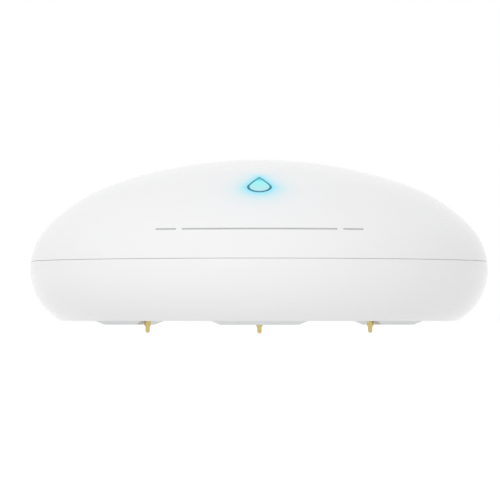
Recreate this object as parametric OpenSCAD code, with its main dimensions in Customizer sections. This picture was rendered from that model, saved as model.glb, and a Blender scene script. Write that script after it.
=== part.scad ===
// Round water leak sensor: a pebble-shaped casing in two halves, three sprung probes and three pads
// under it, a drop-shaped light window, and the board, battery and sounder inside.
// Millimetres. Z = 0 is the plane of the extended probe tips, the front faces -Y.

/* [Casing] */
// Diameter of the casing at its widest line
body_d = 72; // [70:0.5:76]
// Height of the widest line above the underside
widest_h = 8; // [7.8:0.1:9]
// Height of the crown above the widest line
dome_h = 17.4; // [17.2:0.1:19]
// Radius of the side above the widest line
side_r = 9.9; // [9.5:0.1:10.5]
// Angle at which the side passes into the shoulder
side_angle = 43.4; // [42:0.2:45]
// Radius of the shoulder
shoulder_r = 25.9; // [25:0.1:26.5]
// Radius of the belly below the widest line
belly_r = 9; // [8.8:0.1:10]
// Thickness of the casing wall
wall = 2; // [1.7:0.1:2.1]
// Thickness of the floor
floor_t = 2; // [1.9:0.1:2.2]

/* [Seam] */
// Height of the seam above the underside
seam_h = 9.4; // [9.3:0.1:9.8]
// Height of the shadow gap between the two halves
seam_gap = 0.1; // [0.08:0.01:0.3]
// Depth of the shadow gap
gap_depth = 0.7; // [0.5:0.1:0.9]
// Play under the seated cover
seat_play = 0.05; // [0.02:0.01:0.1]
// Thickness of the base rim at the seam
rim_t = 1.3; // [1.2:0.1:1.5]
// Room between the base rim and the skirt of the cover
skirt_room = 1.3; // [1.3:0.05:1.5]
// Thickness of the skirt
skirt_t = 1.4; // [1.2:0.1:1.6]
// Length of the skirt below the seam
skirt_len = 3.7; // [3.7:0.1:4]
// Thickness of the seal ring
seal_d = 1.1; // [1:0.05:1.1]

/* [Twist lock] */
// Rise of the cover in one full turn
turn_rise = 40; // [36:1:44]
// Half the length of a lug
lug_half = 2.4; // [2:0.1:2.6]
// Height of a lug at its middle
lug_h = 0.95; // [0.8:0.05:1]
// Play between a lug and its hook
lock_play = 0.15; // [0.1:0.05:0.2]
// Play between the lugs and the rim, and between the hooks and the skirt
lock_room = 0.28; // [0.2:0.02:0.32]

/* [Drop window] */
// Angle of the shoulder at which the window sits
lens_angle = 67; // [62:0.5:68]
// Radius of the round end of the drop
drop_r = 1.87; // [1.5:0.01:2.2]
// Half angle of the point of the drop
drop_angle = 24; // [20:0.5:30]
// Gap between the window and its opening
lens_play = 0.1; // [0.05:0.01:0.2]
// Depth of the seat inside the cover
lens_seat = 3.2; // [3:0.1:3.6]
// Thickness of the flange behind the window
flange_t = 0.8; // [0.6:0.1:1.2]
// Width of the flange
flange_w = 0.9; // [0.6:0.1:1.2]
// Width of the seat round the opening
seat_w = 1.7; // [1.4:0.1:2]

/* [Feet] */
// Height of the pads below the underside
foot_h = 0.6; // [0.4:0.05:0.8]
// Distance of the pads from the axis
foot_r = 24.3; // [24:0.1:24.8]
// Half the width of a pad
foot_half = 3.4; // [3:0.1:3.6]
// Half the angle between the round ends of a pad
foot_angle = 9.4; // [7:0.2:11]
// Slope of the pad sides
foot_slope = 1.4; // [0.8:0.1:1.8]
// Depth of the pads in the underside
foot_sink = 0.5; // [0.4:0.05:0.7]
// Play round the pads
foot_play = 0.1; // [0.05:0.01:0.15]

/* [Probes] */
// Reach of the probe tips below the underside
probe_reach = 1.9; // [1.7:0.05:2.1]
// Distance of the probes from the axis
probe_r = 20.6; // [20.4:0.1:20.8]
// Diameter of the tip
tip_d = 0.72; // [0.6:0.02:0.8]
// Diameter of the shank
shank_d = 1.12; // [1:0.02:1.2]
// Length of the tip up to its taper
tip_len = 0.95; // [0.8:0.05:1.1]
// Outside diameter of the barrel
barrel_d = 2.4; // [2.4:0.05:2.6]
// Running play of the pin in its barrel
probe_play = 0.05; // [0.03:0.01:0.08]
// Travel of the pin
probe_travel = 1.5; // [1.3:0.05:1.6]
// Thickness of the spring wire
wire_d = 0.16; // [0.12:0.01:0.18]
// Turns of the spring
spring_turns = 7; // [5:1:8]

/* [Board] */
// Height of the board above the floor
standoff_h = 3.1; // [3:0.05:3.2]
// Thickness of the board
board_t = 1.2; // [1:0.1:1.4]
// Play between the board and the skirt
board_room = 0.9; // [0.7:0.05:1.1]
// Diameter of the screws
screw_d = 1.9; // [1.6:0.05:2.1]
// Diameter of the screw heads
screw_head_d = 3.8; // [3.4:0.1:4.2]
// Length of the screws
screw_len = 4.4; // [4:0.1:4.6]
// Diameter of the screw posts
post_d = 4.8; // [4.2:0.1:5]

/* [Battery] */
// Diameter of the battery
battery_d = 17; // [16.6:0.1:17.2]
// Length of the battery over its terminals
battery_len = 34.5; // [33.8:0.1:34.7]
// Play round the battery
battery_play = 0.15; // [0.1:0.05:0.2]
// Position of the battery along Y
battery_y = -2.5; // [-2.7:0.1:-2.2]
// Wall thickness of the holder
holder_t = 1.2; // [1:0.05:1.3]
// Thickness of the contact sheet
contact_t = 0.4; // [0.3:0.05:0.45]

/* [Fittings] */
// Diameter of the sounder
buzzer_d = 12; // [10:0.5:13]
// Height of the sounder
buzzer_h = 6.4; // [5:0.1:6.8]
// Width of the cover switch
switch_w = 6.2; // [5.6:0.1:6.4]
// Height of the switch body
switch_h = 3.6; // [3.2:0.1:4]
// Height of the button top above the board
button_h = 7; // [6.8:0.1:7.4]
// Travel of the button
button_travel = 0.25; // [0.2:0.05:0.35]
// Play of the button in its switch, and under the post of the cover
button_play = 0.1; // [0.06:0.01:0.1]

/* [Hidden] */
$fn = 96;

// Heights
under_z = probe_reach;
floor_z = under_z + floor_t;
widest_z = under_z + widest_h;
seam_z = under_z + seam_h;
crown_z = widest_z + dome_h;
foot_z = under_z - foot_h;
board_z = floor_z + standoff_h;
board_top = board_z + board_t;

// Arcs of the casing outline, each one tangent to the next
body_r = body_d / 2;
side_c = [body_r - side_r, widest_z];
shoulder_c = side_c - (shoulder_r - side_r) * [cos(side_angle), sin(side_angle)];
crown_rise = crown_z - shoulder_r - shoulder_c.y;
crown_r = shoulder_r + (pow(shoulder_c.x, 2) + pow(crown_rise, 2)) / (2 * crown_rise);
crown_c = [0, crown_z - crown_r];
crown_angle = atan2(shoulder_c.y - crown_c.y, shoulder_c.x);
belly_c = [body_r - belly_r, widest_z];
// Each arc is a hair smaller than its neighbour and laps over it, so that they cross cleanly
join_angle = 4;
join_step = 0.002;

// Seam and skirt
seam_r = side_c.x + sqrt(pow(side_r, 2) - pow(seam_z - widest_z, 2));
rim_in_r = seam_r - rim_t;
skirt_out_r = rim_in_r - skirt_room;
skirt_in_r = skirt_out_r - skirt_t;
skirt_z = seam_z - skirt_len;
ledge_z = skirt_z - 0.3;
seal_groove = 0.1;
seal_z = seam_z - 0.1 - seal_d / 2;
seal_r = skirt_out_r - seal_groove + 0.05 + seal_d / 2;

// Twist lock
lug_angles = [90, 210, 330];
lug_slope = turn_rise / (2 * PI * rim_in_r);
lug_out_r = rim_in_r - lock_room;
hook_in_r = skirt_out_r + lock_room;
hook_top = skirt_z + 2.3;
stop_t = lug_half + 0.25;
stop_w = 1.2;

// Drop window
lens_r = shoulder_c.x + shoulder_r * cos(lens_angle);
lens_z = shoulder_c.y + shoulder_r * sin(lens_angle);
drop_reach = drop_r / sin(drop_angle);
drop_shift = (drop_r - drop_reach) / 2;

// Probes, each one with its pad outside it
probe_angles = [-90, 150, 30];
tip_r = tip_d / 2;
shank_r = shank_d / 2;
barrel_r = barrel_d / 2;
mouth_top = under_z + 1.1;
head_r = barrel_r - 0.35 - probe_play;
head_h = 0.6;
nub_r = 0.42;
nub_h = 0.5;
head_z = mouth_top + 0.05;
spring_room = 3.25;
barrel_ceiling = head_z + head_h + nub_h + probe_travel + spring_room;
barrel_top = barrel_ceiling + 0.5;
barrel_flange_r = barrel_r + 1.1;
barrel_flange_t = 0.5;
bore_play = 0.05;
ring_d = 0.6;
ring_r = barrel_r + 0.05 + ring_d / 2;
ring_seat_r = ring_r + ring_d / 2 + 0.05;
ring_seat_h = ring_d + 0.05;

// Springs
coil_r = head_r - 0.1 - wire_d / 2;
coil_low = head_z + head_h + 0.02 + wire_d / 2;
coil_high = barrel_ceiling - 0.02 - wire_d / 2;
coil_pitch = (coil_high - coil_low) / spring_turns;
coil_steps = 8;
coil_sides = 6;
coil_rings = spring_turns * coil_steps;
coil_lean = atan2(coil_pitch, 2 * PI * coil_r);

// Board
board_r = skirt_in_r - board_room;

// Battery and its holder
battery_r = battery_d / 2;
holder_floor = 0.6;
battery_z = floor_z + holder_floor + 0.1 + battery_r;
holder_y = battery_r + battery_play + holder_t;
end_gap = 1.75;
end_t = 1.4;
end_x = battery_len / 2 + end_gap;
holder_x = end_x + end_t;
holder_side_z = battery_z - 1.5;
holder_end_z = battery_z + 4.6;
end_half = 4.5;
tab_half = 9;
tab_w = 1.5;
tab_h = 1;
cut_play = 0.5;
cut_x = holder_x + cut_play;
cut_y = holder_y + cut_play;
front_edge = battery_y - cut_y;
back_edge = battery_y + cut_y;

// Board screws: one at the back, two beside the front corners of the battery cut-out
screw_edge = 0.7;
screw_room = 0.1;
screw_r = screw_d / 2;
thread_play = 0.05;
screw_ring_r = board_r - screw_head_d / 2 - screw_edge;
screw_side_angle = acos((cut_x + screw_room + post_d / 2) / screw_ring_r);
screw_angles = [90, 180 + screw_side_angle, 360 - screw_side_angle];

// Contacts
sheet_play = 0.05;
leaf_r = 5.5;
leaf_reach = 6;
leaf_low = battery_z - leaf_reach;
contact_half = 2.5;
contact_foot = 2;
nub_len = 1.1;

// Fittings on the board
switch_r = 23.5;
switch_angle = -52;
button_r = 1.6;
button_z = board_top + 1;
button_top = board_top + button_h;
button_pocket_z = button_z - button_travel - 0.1;
cover_post_r = 1.5;
light_size = [3.5, 2.8, 1.9];
light_dish_r = 1.2;
light_dish = 0.3;
light_room = 1.395;
light_r = probe_r + barrel_r + light_room + light_size.y / 2;
chip_w = 7;
chip_h = 1;
chip_gap = 0.8;
chip_room = 2.65;
chip_at = [-light_size.x / 2 - chip_gap - chip_w / 2, front_edge - chip_room - chip_w / 2];
can_d = 6.3;
can_h = 5.4;
can_foot = 1.2;
can_w = can_d + 0.2;
can_gap = 1;
can_room = 0.8;
can_at = [chip_at.x - chip_w / 2 - can_gap - can_w / 2, front_edge - can_room - can_w / 2];
sensor_size = [1.6, 3, 1.1];
sensor_edge = 3.8;
sensor_angle = 17.1;
sensor_at = polar(board_r - sensor_edge, sensor_angle);
antenna_edge = 1.6;
antenna_r = board_r - antenna_edge;
antenna_from = 100;
antenna_to = 165;
antenna_t = 0.4;
antenna_h = 4.4;
antenna_lift = 2;
leg_angle = 4;
buzzer_gap = 0.8;
buzzer_angle = 119.4;
buzzer_hole_d = 2.4;
buzzer_hole = 1.5;
buzzer_at = polar(antenna_r - antenna_t / 2 - buzzer_gap - buzzer_d / 2, buzzer_angle);
radio_size = [13, 11, 0.8];
radio_edge = 1;
radio_x = 9.2;
radio_high = sqrt(pow(board_r - radio_edge, 2) - pow(radio_x + radio_size.x / 2, 2));
radio_at = [radio_x, radio_high - radio_size.y / 2];
shield_size = [11, 9, 2.2];
shield_t = 0.25;

// Rows of small parts on the board: first place, number and turn
part_size = [2, 1.2, 0.8];
part_step = 2.7;
near_row = 2.35;
far_row = 10.65;
chip_row = 1.8;
back_row = 1.6;
side_row = 4.2;
part_rows = [[4.5, front_edge - near_row, 3, 90], [4.2, front_edge - far_row, 3, 90],
    [chip_at.x - part_step, chip_at.y - chip_w / 2 - chip_row, 3, 0], [-5, back_edge + back_row, 4, 0],
    [holder_x + side_row, 3, 1, 90], [-holder_x - side_row, 3, 1, 90]];

function polar(radius, angle) = radius * [cos(angle), sin(angle)];

// Part of a disc between two directions from its centre
module slice_2d(centre, radius, from_angle, to_angle) {
    intersection() {
        translate(centre)
            circle(radius);
        polygon([centre, centre + polar(2 * radius, from_angle),
            centre + polar(2 * radius, (from_angle + to_angle) / 2), centre + polar(2 * radius, to_angle)]);
    }
}

// Half section of the casing, set in by a wall thickness and cut off at a low plane
module casing_2d(inset, low) {
    intersection() {
        translate([0, low])
            square([body_r + 1, crown_z]);
        union() {
            slice_2d(crown_c, crown_r - inset - 2 * join_step, crown_angle, 90);
            slice_2d(shoulder_c, shoulder_r - inset - join_step, side_angle, crown_angle + join_angle);
            slice_2d(side_c, side_r - inset, 0, side_angle + join_angle);
            slice_2d(belly_c, belly_r - inset, -90, 0);
            translate([0, low])
                square([belly_c.x, widest_z - low + 1]);
            translate([belly_c.x - 1, widest_z - 2])
                square([4, 4]);
        }
    }
}

module casing_solid(inset) {
    rotate_extrude()
        casing_2d(inset, under_z);
}

module ring(in_r, out_r, low, high) {
    translate([0, 0, low])
        difference() {
            cylinder(r = out_r, h = high - low);
            translate([0, 0, -1])
                cylinder(r = in_r, h = high - low + 2);
        }
}

// Extrudes a drawing of the tangent and the height outward along a direction
module outward(angle, from_r, to_r) {
    rotate([0, 0, angle])
        translate([from_r, 0, 0])
            rotate([90, 0, 90])
                linear_extrude(to_r - from_r)
                    children();
}

module at_lens(depth) {
    translate([0, -lens_r, lens_z])
        rotate([90 - lens_angle, 0, 0])
            translate([0, 0, -depth])
                children();
}

// Drop outline: a round end and the two tangents to its point
module drop_2d(grow) {
    r = drop_r + grow;
    translate([0, drop_shift])
        union() {
            circle(r);
            polygon([[0, r / sin(drop_angle)], [-r * cos(drop_angle), r * sin(drop_angle)], [0, 0],
                [r * cos(drop_angle), r * sin(drop_angle)]]);
        }
}

module cover_2d() {
    difference() {
        union() {
            intersection() {
                casing_2d(0, under_z);
                translate([0, seam_z])
                    square([body_r + 1, crown_z]);
            }
            translate([skirt_in_r, skirt_z])
                square([skirt_t, skirt_len + 1]);
        }
        intersection() {
            casing_2d(wall, floor_z);
            square([skirt_in_r, crown_z]);
        }
        translate([skirt_out_r - seal_groove, seal_z - seal_d / 2 - 0.05])
            square([1, seal_d + 0.1]);
    }
}

module lug(angle) {
    intersection() {
        ring(skirt_out_r - 0.4, lug_out_r, skirt_z, seam_z);
        outward(angle, skirt_in_r, seam_r)
            polygon([[-lug_half, skirt_z], [lug_half, skirt_z],
                [lug_half, skirt_z + lug_h + lug_slope * lug_half],
                [-lug_half, skirt_z + lug_h - lug_slope * lug_half]]);
    }
}

module hook(angle) {
    rest = skirt_z + lug_h + lock_play;
    intersection() {
        ring(hook_in_r, rim_in_r + 0.5, ledge_z - 1, seam_z);
        outward(angle, skirt_in_r, seam_r)
            polygon([[-stop_t - stop_w, ledge_z - 0.5], [-stop_t, ledge_z - 0.5],
                [-stop_t, rest - lug_slope * stop_t], [lug_half, rest + lug_slope * lug_half],
                [lug_half, hook_top], [-stop_t - stop_w, hook_top]]);
    }
}

module top_cover() {
    color("white")
        difference() {
            union() {
                rotate_extrude()
                    cover_2d();
                for (angle = lug_angles)
                    lug(angle);
                intersection() {
                    casing_solid(wall / 2);
                    at_lens(lens_seat)
                        linear_extrude(lens_seat + 3)
                            drop_2d(seat_w);
                }
                intersection() {
                    casing_solid(wall / 2);
                    translate(polar(switch_r, switch_angle))
                        translate([0, 0, button_top + button_play])
                            cylinder(r = cover_post_r, h = crown_z);
                }
            }
            at_lens(lens_seat + 1)
                linear_extrude(lens_seat + 4)
                    drop_2d(0);
        }
}

module drop_lens() {
    color("deepskyblue")
        union() {
            intersection() {
                casing_solid(0);
                at_lens(lens_seat + seat_play + flange_t / 2)
                    linear_extrude(lens_seat + 4)
                        drop_2d(-lens_play);
            }
            at_lens(lens_seat + seat_play + flange_t)
                linear_extrude(flange_t)
                    drop_2d(flange_w);
        }
}

module seam_seal() {
    color("dimgray")
        rotate_extrude()
            translate([seal_r, seal_z])
                circle(seal_d / 2);
}

// Arc-shaped pad with round ends, given by its half widths at two heights
module arc_pad(low_half, high_half, low, high) {
    rotate([0, 0, -foot_angle])
        rotate_extrude(angle = 2 * foot_angle)
            polygon([[foot_r - low_half, low], [foot_r + low_half, low],
                [foot_r + high_half, high], [foot_r - high_half, high]]);
    for (side = [-1, 1])
        rotate([0, 0, side * foot_angle])
            translate([foot_r, 0, low])
                cylinder(r1 = low_half, r2 = high_half, h = high - low);
}

module probe_spot(play, low, high) {
    translate([probe_r, 0, low])
        cylinder(r = barrel_r + play, h = high - low);
}

module foot(angle) {
    color("gainsboro")
        rotate([0, 0, angle])
            difference() {
                union() {
                    arc_pad(foot_half - foot_slope, foot_half, foot_z, under_z);
                    arc_pad(foot_half, foot_half, under_z, under_z + foot_sink - 0.05);
                }
                probe_spot(0.4, 0, floor_z);
            }
}

module base_2d() {
    difference() {
        intersection() {
            casing_2d(0, under_z);
            square([body_r + 1, seam_z - seat_play]);
        }
        casing_2d(wall, floor_z);
        translate([0, ledge_z])
            square([rim_in_r, seam_z]);
        translate([seam_r - gap_depth, seam_z - seam_gap])
            square([5, 5]);
    }
}

module base_shell() {
    color("white")
        difference() {
            union() {
                rotate_extrude()
                    base_2d();
                for (angle = lug_angles)
                    hook(angle);
                for (angle = screw_angles)
                    translate(polar(screw_ring_r, angle))
                        translate([0, 0, floor_z - 0.5])
                            cylinder(d = post_d, h = standoff_h + 0.5);
            }
            for (angle = probe_angles)
                rotate([0, 0, angle]) {
                    probe_spot(bore_play, 0, floor_z + 1);
                    translate([probe_r, 0, floor_z - ring_seat_h])
                        cylinder(r = ring_seat_r, h = 2);
                    difference() {
                        arc_pad(foot_half + foot_play, foot_half + foot_play, 0, under_z + foot_sink);
                        probe_spot(0.3, -1, floor_z);
                    }
                }
            for (angle = screw_angles)
                translate(polar(screw_ring_r, angle))
                    translate([0, 0, board_top - screw_len - 0.2])
                        cylinder(r = screw_r + thread_play, h = screw_len);
        }
}

module barrel(angle) {
    color("gold")
        translate(polar(probe_r, angle))
            rotate_extrude()
                polygon([[shank_r + probe_play, under_z], [barrel_r, under_z], [barrel_r, floor_z],
                    [barrel_flange_r, floor_z], [barrel_flange_r, floor_z + barrel_flange_t],
                    [barrel_r, floor_z + barrel_flange_t], [barrel_r, barrel_top], [0, barrel_top],
                    [0, barrel_ceiling], [head_r + probe_play, barrel_ceiling],
                    [head_r + probe_play, mouth_top], [shank_r + probe_play, mouth_top]]);
}

module pin(angle) {
    color("khaki")
        translate(polar(probe_r, angle))
            rotate_extrude()
                union() {
                    intersection() {
                        translate([0, tip_r])
                            circle(tip_r);
                        square([1, tip_r]);
                    }
                    polygon([[0, tip_r], [tip_r, tip_r], [tip_r, tip_len], [shank_r, tip_len + 0.25],
                        [shank_r, head_z], [head_r, head_z], [head_r, head_z + head_h],
                        [nub_r, head_z + head_h], [nub_r, head_z + head_h + nub_h],
                        [0, head_z + head_h + nub_h]]);
                }
}

// Point of the coil line at a turn angle
function coil_at(turn) = [coil_r * cos(turn), coil_r * sin(turn), coil_low + coil_pitch * turn / 360];

// Point on the wire round that line
function wire_at(turn, side) = coil_at(turn) + wire_d / 2 * (cos(side) * [cos(turn), sin(turn), 0]
    + sin(side) * [sin(turn) * sin(coil_lean), -cos(turn) * sin(coil_lean), cos(coil_lean)]);

coil_points = [for (i = [0:coil_rings], k = [0:coil_sides - 1])
    wire_at(i * 360 / coil_steps, k * 360 / coil_sides)];
function coil_index(i, k) = i * coil_sides + k % coil_sides;
coil_skin = [for (i = [0:coil_rings - 1], k = [0:coil_sides - 1], half = [0, 1])
    half == 0 ? [coil_index(i, k), coil_index(i + 1, k), coil_index(i + 1, k + 1)]
        : [coil_index(i, k), coil_index(i + 1, k + 1), coil_index(i, k + 1)]];
coil_ends = [for (k = [1:coil_sides - 2], end = [0, 1])
    end == 0 ? [coil_index(0, 0), coil_index(0, k), coil_index(0, k + 1)]
        : [coil_index(coil_rings, 0), coil_index(coil_rings, k + 1), coil_index(coil_rings, k)]];
coil_gap = min([for (i = [0:coil_steps]) norm(coil_at(i * 360 / coil_steps) - coil_at(i * 360 / coil_steps + 360))])
    * cos(coil_lean) - wire_d;
echo(spring_gap = coil_gap);

module coil(angle) {
    color("silver")
        translate(polar(probe_r, angle))
            polyhedron(points = coil_points, faces = concat(coil_skin, coil_ends));
}

module barrel_seals() {
    color("dimgray")
        for (angle = probe_angles)
            translate(polar(probe_r, angle))
                translate([0, 0, floor_z - ring_seat_h + ring_d / 2 + 0.02])
                    rotate_extrude()
                        translate([ring_r, 0])
                            circle(ring_d / 2);
}

module circuit_board() {
    color("darkgreen")
        translate([0, 0, board_z])
            linear_extrude(board_t)
                difference() {
                    circle(board_r);
                    translate([-cut_x, battery_y - cut_y])
                        square([2 * cut_x, 2 * cut_y]);
                    for (angle = screw_angles)
                        translate(polar(screw_ring_r, angle))
                            circle(screw_r + 0.15);
                    for (angle = probe_angles)
                        translate(polar(probe_r, angle))
                            circle(barrel_r + 0.1);
                }
}

module board_screws() {
    color("silver")
        for (angle = screw_angles)
            translate(polar(screw_ring_r, angle))
                translate([0, 0, board_top])
                    difference() {
                        union() {
                            translate([0, 0, -screw_len])
                                cylinder(r = screw_r, h = screw_len + 0.5);
                            cylinder(d = screw_head_d, h = 0.8);
                            translate([0, 0, 0.8])
                                cylinder(d1 = screw_head_d, d2 = screw_head_d - 1, h = 0.5);
                        }
                        for (turn = [0, 90])
                            rotate([0, 0, turn])
                                translate([-1, -0.25, 0.6])
                                    cube([2, 0.5, 1]);
                    }
}

module battery_holder() {
    inside_y = battery_r + battery_play;
    color("dimgray")
        translate([0, battery_y, 0])
            union() {
                difference() {
                    translate([-holder_x, -holder_y, floor_z])
                        cube([2 * holder_x, 2 * holder_y, holder_side_z - floor_z]);
                    translate([-end_x, -inside_y, floor_z + holder_floor])
                        cube([2 * end_x, 2 * inside_y, holder_side_z]);
                }
                for (side = [-1, 1]) {
                    translate([side * (end_x + end_t / 2) - end_t / 2, -end_half, holder_side_z - 1])
                        cube([end_t, 2 * end_half, holder_end_z - holder_side_z + 1]);
                    translate([-tab_half, side * (holder_y + tab_w / 2 - 0.25) - tab_w / 2 - 0.25, board_z - 0.05 - tab_h])
                        cube([2 * tab_half, tab_w + 0.5, tab_h]);
                }
            }
}

module battery() {
    long = battery_len - nub_len;
    color("steelblue")
        translate([-battery_len / 2, battery_y, battery_z])
            rotate([0, 90, 0])
                rotate_extrude()
                    polygon([[0, 0], [battery_r - 0.5, 0], [battery_r, 0.5], [battery_r, long - 0.8],
                        [battery_r - 0.8, long], [3.2, long], [3.2, battery_len - 0.3],
                        [2.9, battery_len], [0, battery_len]]);
}

// Folded sheet over an end wall, with a bowed leaf against the battery and a foot on the board
module contact_2d() {
    inner_x = end_x - sheet_play - contact_t;
    outer_x = holder_x + sheet_play;
    fold_z = holder_end_z + sheet_play;
    foot_low = board_top + 0.02;
    union() {
        translate([inner_x, leaf_low])
            square([contact_t, fold_z + contact_t - leaf_low]);
        translate([inner_x, fold_z])
            square([outer_x + contact_t - inner_x, contact_t]);
        translate([outer_x, foot_low])
            square([contact_t, fold_z + contact_t - foot_low]);
        translate([outer_x, foot_low])
            square([contact_foot, contact_t]);
        intersection() {
            translate([battery_len / 2 + 0.02 + leaf_r, battery_z])
                difference() {
                    circle(leaf_r);
                    circle(leaf_r - contact_t);
                }
            translate([0, leaf_low])
                square([inner_x + contact_t, 2 * leaf_reach]);
        }
    }
}

module contact(side) {
    color("silver")
        translate([0, battery_y, 0])
            mirror([side < 0 ? 1 : 0, 0, 0])
                rotate([90, 0, 0])
                    translate([0, 0, -contact_half])
                        linear_extrude(2 * contact_half)
                            contact_2d();
}

module status_light() {
    color("white")
        translate([0, -light_r, board_top])
            difference() {
                translate([-light_size.x / 2, -light_size.y / 2, 0])
                    cube(light_size);
                translate([0, 0, light_size.z - light_dish])
                    cylinder(r = light_dish_r, h = 1);
            }
}

module buzzer() {
    color("black")
        translate([buzzer_at.x, buzzer_at.y, board_top])
            difference() {
                cylinder(d = buzzer_d, h = buzzer_h);
                translate([0, 0, buzzer_h - buzzer_hole])
                    cylinder(d = buzzer_hole_d, h = buzzer_hole + 1);
            }
}

module radio_board() {
    color("navy")
        translate([radio_at.x - radio_size.x / 2, radio_at.y - radio_size.y / 2, board_top])
            cube(radio_size);
}

module radio_shield() {
    color("silver")
        translate([radio_at.x, radio_at.y, board_top + radio_size.z])
            difference() {
                translate([-shield_size.x / 2, -shield_size.y / 2, 0])
                    cube(shield_size);
                translate([shield_t - shield_size.x / 2, shield_t - shield_size.y / 2, -1])
                    cube(shield_size - [2 * shield_t, 2 * shield_t, shield_t - 1]);
            }
}

// Wedge of a ring between two directions round the axis
module ring_wedge(in_r, out_r, from_angle, to_angle, low, high) {
    rotate([0, 0, from_angle])
        rotate_extrude(angle = to_angle - from_angle)
            translate([in_r, low])
                square([out_r - in_r, high - low]);
}

// Bent strip on two legs, cut out of one band
module antenna() {
    in_r = antenna_r - antenna_t / 2;
    out_r = antenna_r + antenna_t / 2;
    color("silver")
        difference() {
            ring_wedge(in_r, out_r, antenna_from, antenna_to, board_top, board_top + antenna_h);
            ring_wedge(in_r - 1, out_r + 1, antenna_from + leg_angle, antenna_from + 3 * leg_angle,
                board_top - 1, board_top + antenna_lift);
            ring_wedge(in_r - 1, out_r + 1, antenna_from + 4 * leg_angle, antenna_to + 2,
                board_top - 1, board_top + antenna_lift);
        }
}

module cover_switch() {
    color("dimgray")
        translate(polar(switch_r, switch_angle))
            rotate([0, 0, switch_angle])
                difference() {
                    translate([-switch_w / 2, -switch_w / 2, board_top])
                        cube([switch_w, switch_w, switch_h]);
                    translate([0, 0, button_pocket_z])
                        cylinder(r = button_r + button_play, h = switch_h + 1);
                }
}

module switch_button() {
    color("white")
        translate(polar(switch_r, switch_angle))
            translate([0, 0, button_z])
                cylinder(r = button_r, h = button_top - button_z);
}

module control_chip() {
    color("black")
        translate([chip_at.x - chip_w / 2, chip_at.y - chip_w / 2, board_top])
            cube([chip_w, chip_w, chip_h]);
}

module temperature_sensor() {
    color("black")
        translate([sensor_at.x - sensor_size.x / 2, sensor_at.y - sensor_size.y / 2, board_top])
            cube(sensor_size);
}

module capacitor() {
    color("silver")
        translate([can_at.x, can_at.y, board_top])
            union() {
                translate([-can_w / 2, -can_w / 2, 0])
                    cube([can_w, can_w, can_foot]);
                cylinder(d = can_d, h = can_h);
            }
}

module small_parts() {
    color("tan")
        for (row = part_rows, i = [0:row[2] - 1])
            translate([row.x + i * part_step, row.y, board_top])
                rotate([0, 0, row[3]])
                    translate([-part_size.x / 2, -part_size.y / 2, 0])
                        cube(part_size);
}

top_cover();
drop_lens();
seam_seal();
base_shell();
foot(probe_angles[0]);  // foot_front
foot(probe_angles[1]);  // foot_left
foot(probe_angles[2]);  // foot_right
barrel(probe_angles[0]);  // barrel_front
barrel(probe_angles[1]);  // barrel_left
barrel(probe_angles[2]);  // barrel_right
pin(probe_angles[0]);  // pin_front
pin(probe_angles[1]);  // pin_left
pin(probe_angles[2]);  // pin_right
coil(probe_angles[0]);  // spring_front
coil(probe_angles[1]);  // spring_left
coil(probe_angles[2]);  // spring_right
barrel_seals();
circuit_board();
board_screws();
battery_holder();
battery();
contact(1);  // contact_plus
contact(-1);  // contact_minus
status_light();
buzzer();
radio_board();
radio_shield();
antenna();
cover_switch();
switch_button();
control_chip();
temperature_sensor();
capacitor();
small_parts();
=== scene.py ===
"""Looks of a round water leak sensor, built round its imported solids.

The file is laid out as an add-on: sizes and colours are properties, each group of pieces has an
operator, and main() runs them in order. Shapes are worked out in millimetres, in the frame of the
solids, and become metres where a mesh is made.
"""

import math

import bmesh
import bpy
import numpy as np
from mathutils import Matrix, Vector


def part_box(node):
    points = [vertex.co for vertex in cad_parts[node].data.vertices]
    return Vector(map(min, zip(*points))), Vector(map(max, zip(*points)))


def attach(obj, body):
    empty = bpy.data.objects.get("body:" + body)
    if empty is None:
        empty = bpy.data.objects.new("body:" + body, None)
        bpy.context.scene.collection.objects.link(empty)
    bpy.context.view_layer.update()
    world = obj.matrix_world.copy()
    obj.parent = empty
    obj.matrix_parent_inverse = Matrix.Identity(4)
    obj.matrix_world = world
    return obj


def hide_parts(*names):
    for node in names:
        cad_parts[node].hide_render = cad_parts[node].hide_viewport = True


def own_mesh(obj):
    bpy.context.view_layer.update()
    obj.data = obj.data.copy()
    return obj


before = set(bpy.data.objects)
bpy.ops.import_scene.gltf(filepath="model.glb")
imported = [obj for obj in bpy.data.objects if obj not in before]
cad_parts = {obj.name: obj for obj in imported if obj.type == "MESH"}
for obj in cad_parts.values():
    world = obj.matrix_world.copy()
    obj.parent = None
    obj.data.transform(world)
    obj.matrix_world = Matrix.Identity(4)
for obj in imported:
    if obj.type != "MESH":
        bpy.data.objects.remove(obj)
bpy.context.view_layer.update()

bl_info = {
    "name": "Water leak sensor",
    "version": (1, 0, 0),
    "blender": (4, 5, 0),
    "location": "3D View > Sidebar > Leak sensor",
    "description": "Builds the looks of a round water leak sensor round its solids",
    "category": "Object",
}

MM = 0.001


def linear(code):
    """An sRGB hex colour as linear red, green, blue and alpha."""
    srgb = np.array([int(code[i : i + 2], 16) for i in (0, 2, 4)]) / 255
    rgb = np.where(srgb <= 0.04045, srgb / 12.92, ((srgb + 0.055) / 1.055) ** 2.4)
    return (*rgb.tolist(), 1.0)


def box_mm(node):
    """Lowest and highest corner of a solid, in millimetres."""
    low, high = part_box(node)
    return np.array(low) / MM, np.array(high) / MM


def middle(node):
    """Centre of a solid's box, in millimetres."""
    low, high = box_mm(node)
    return (low + high) / 2


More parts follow.
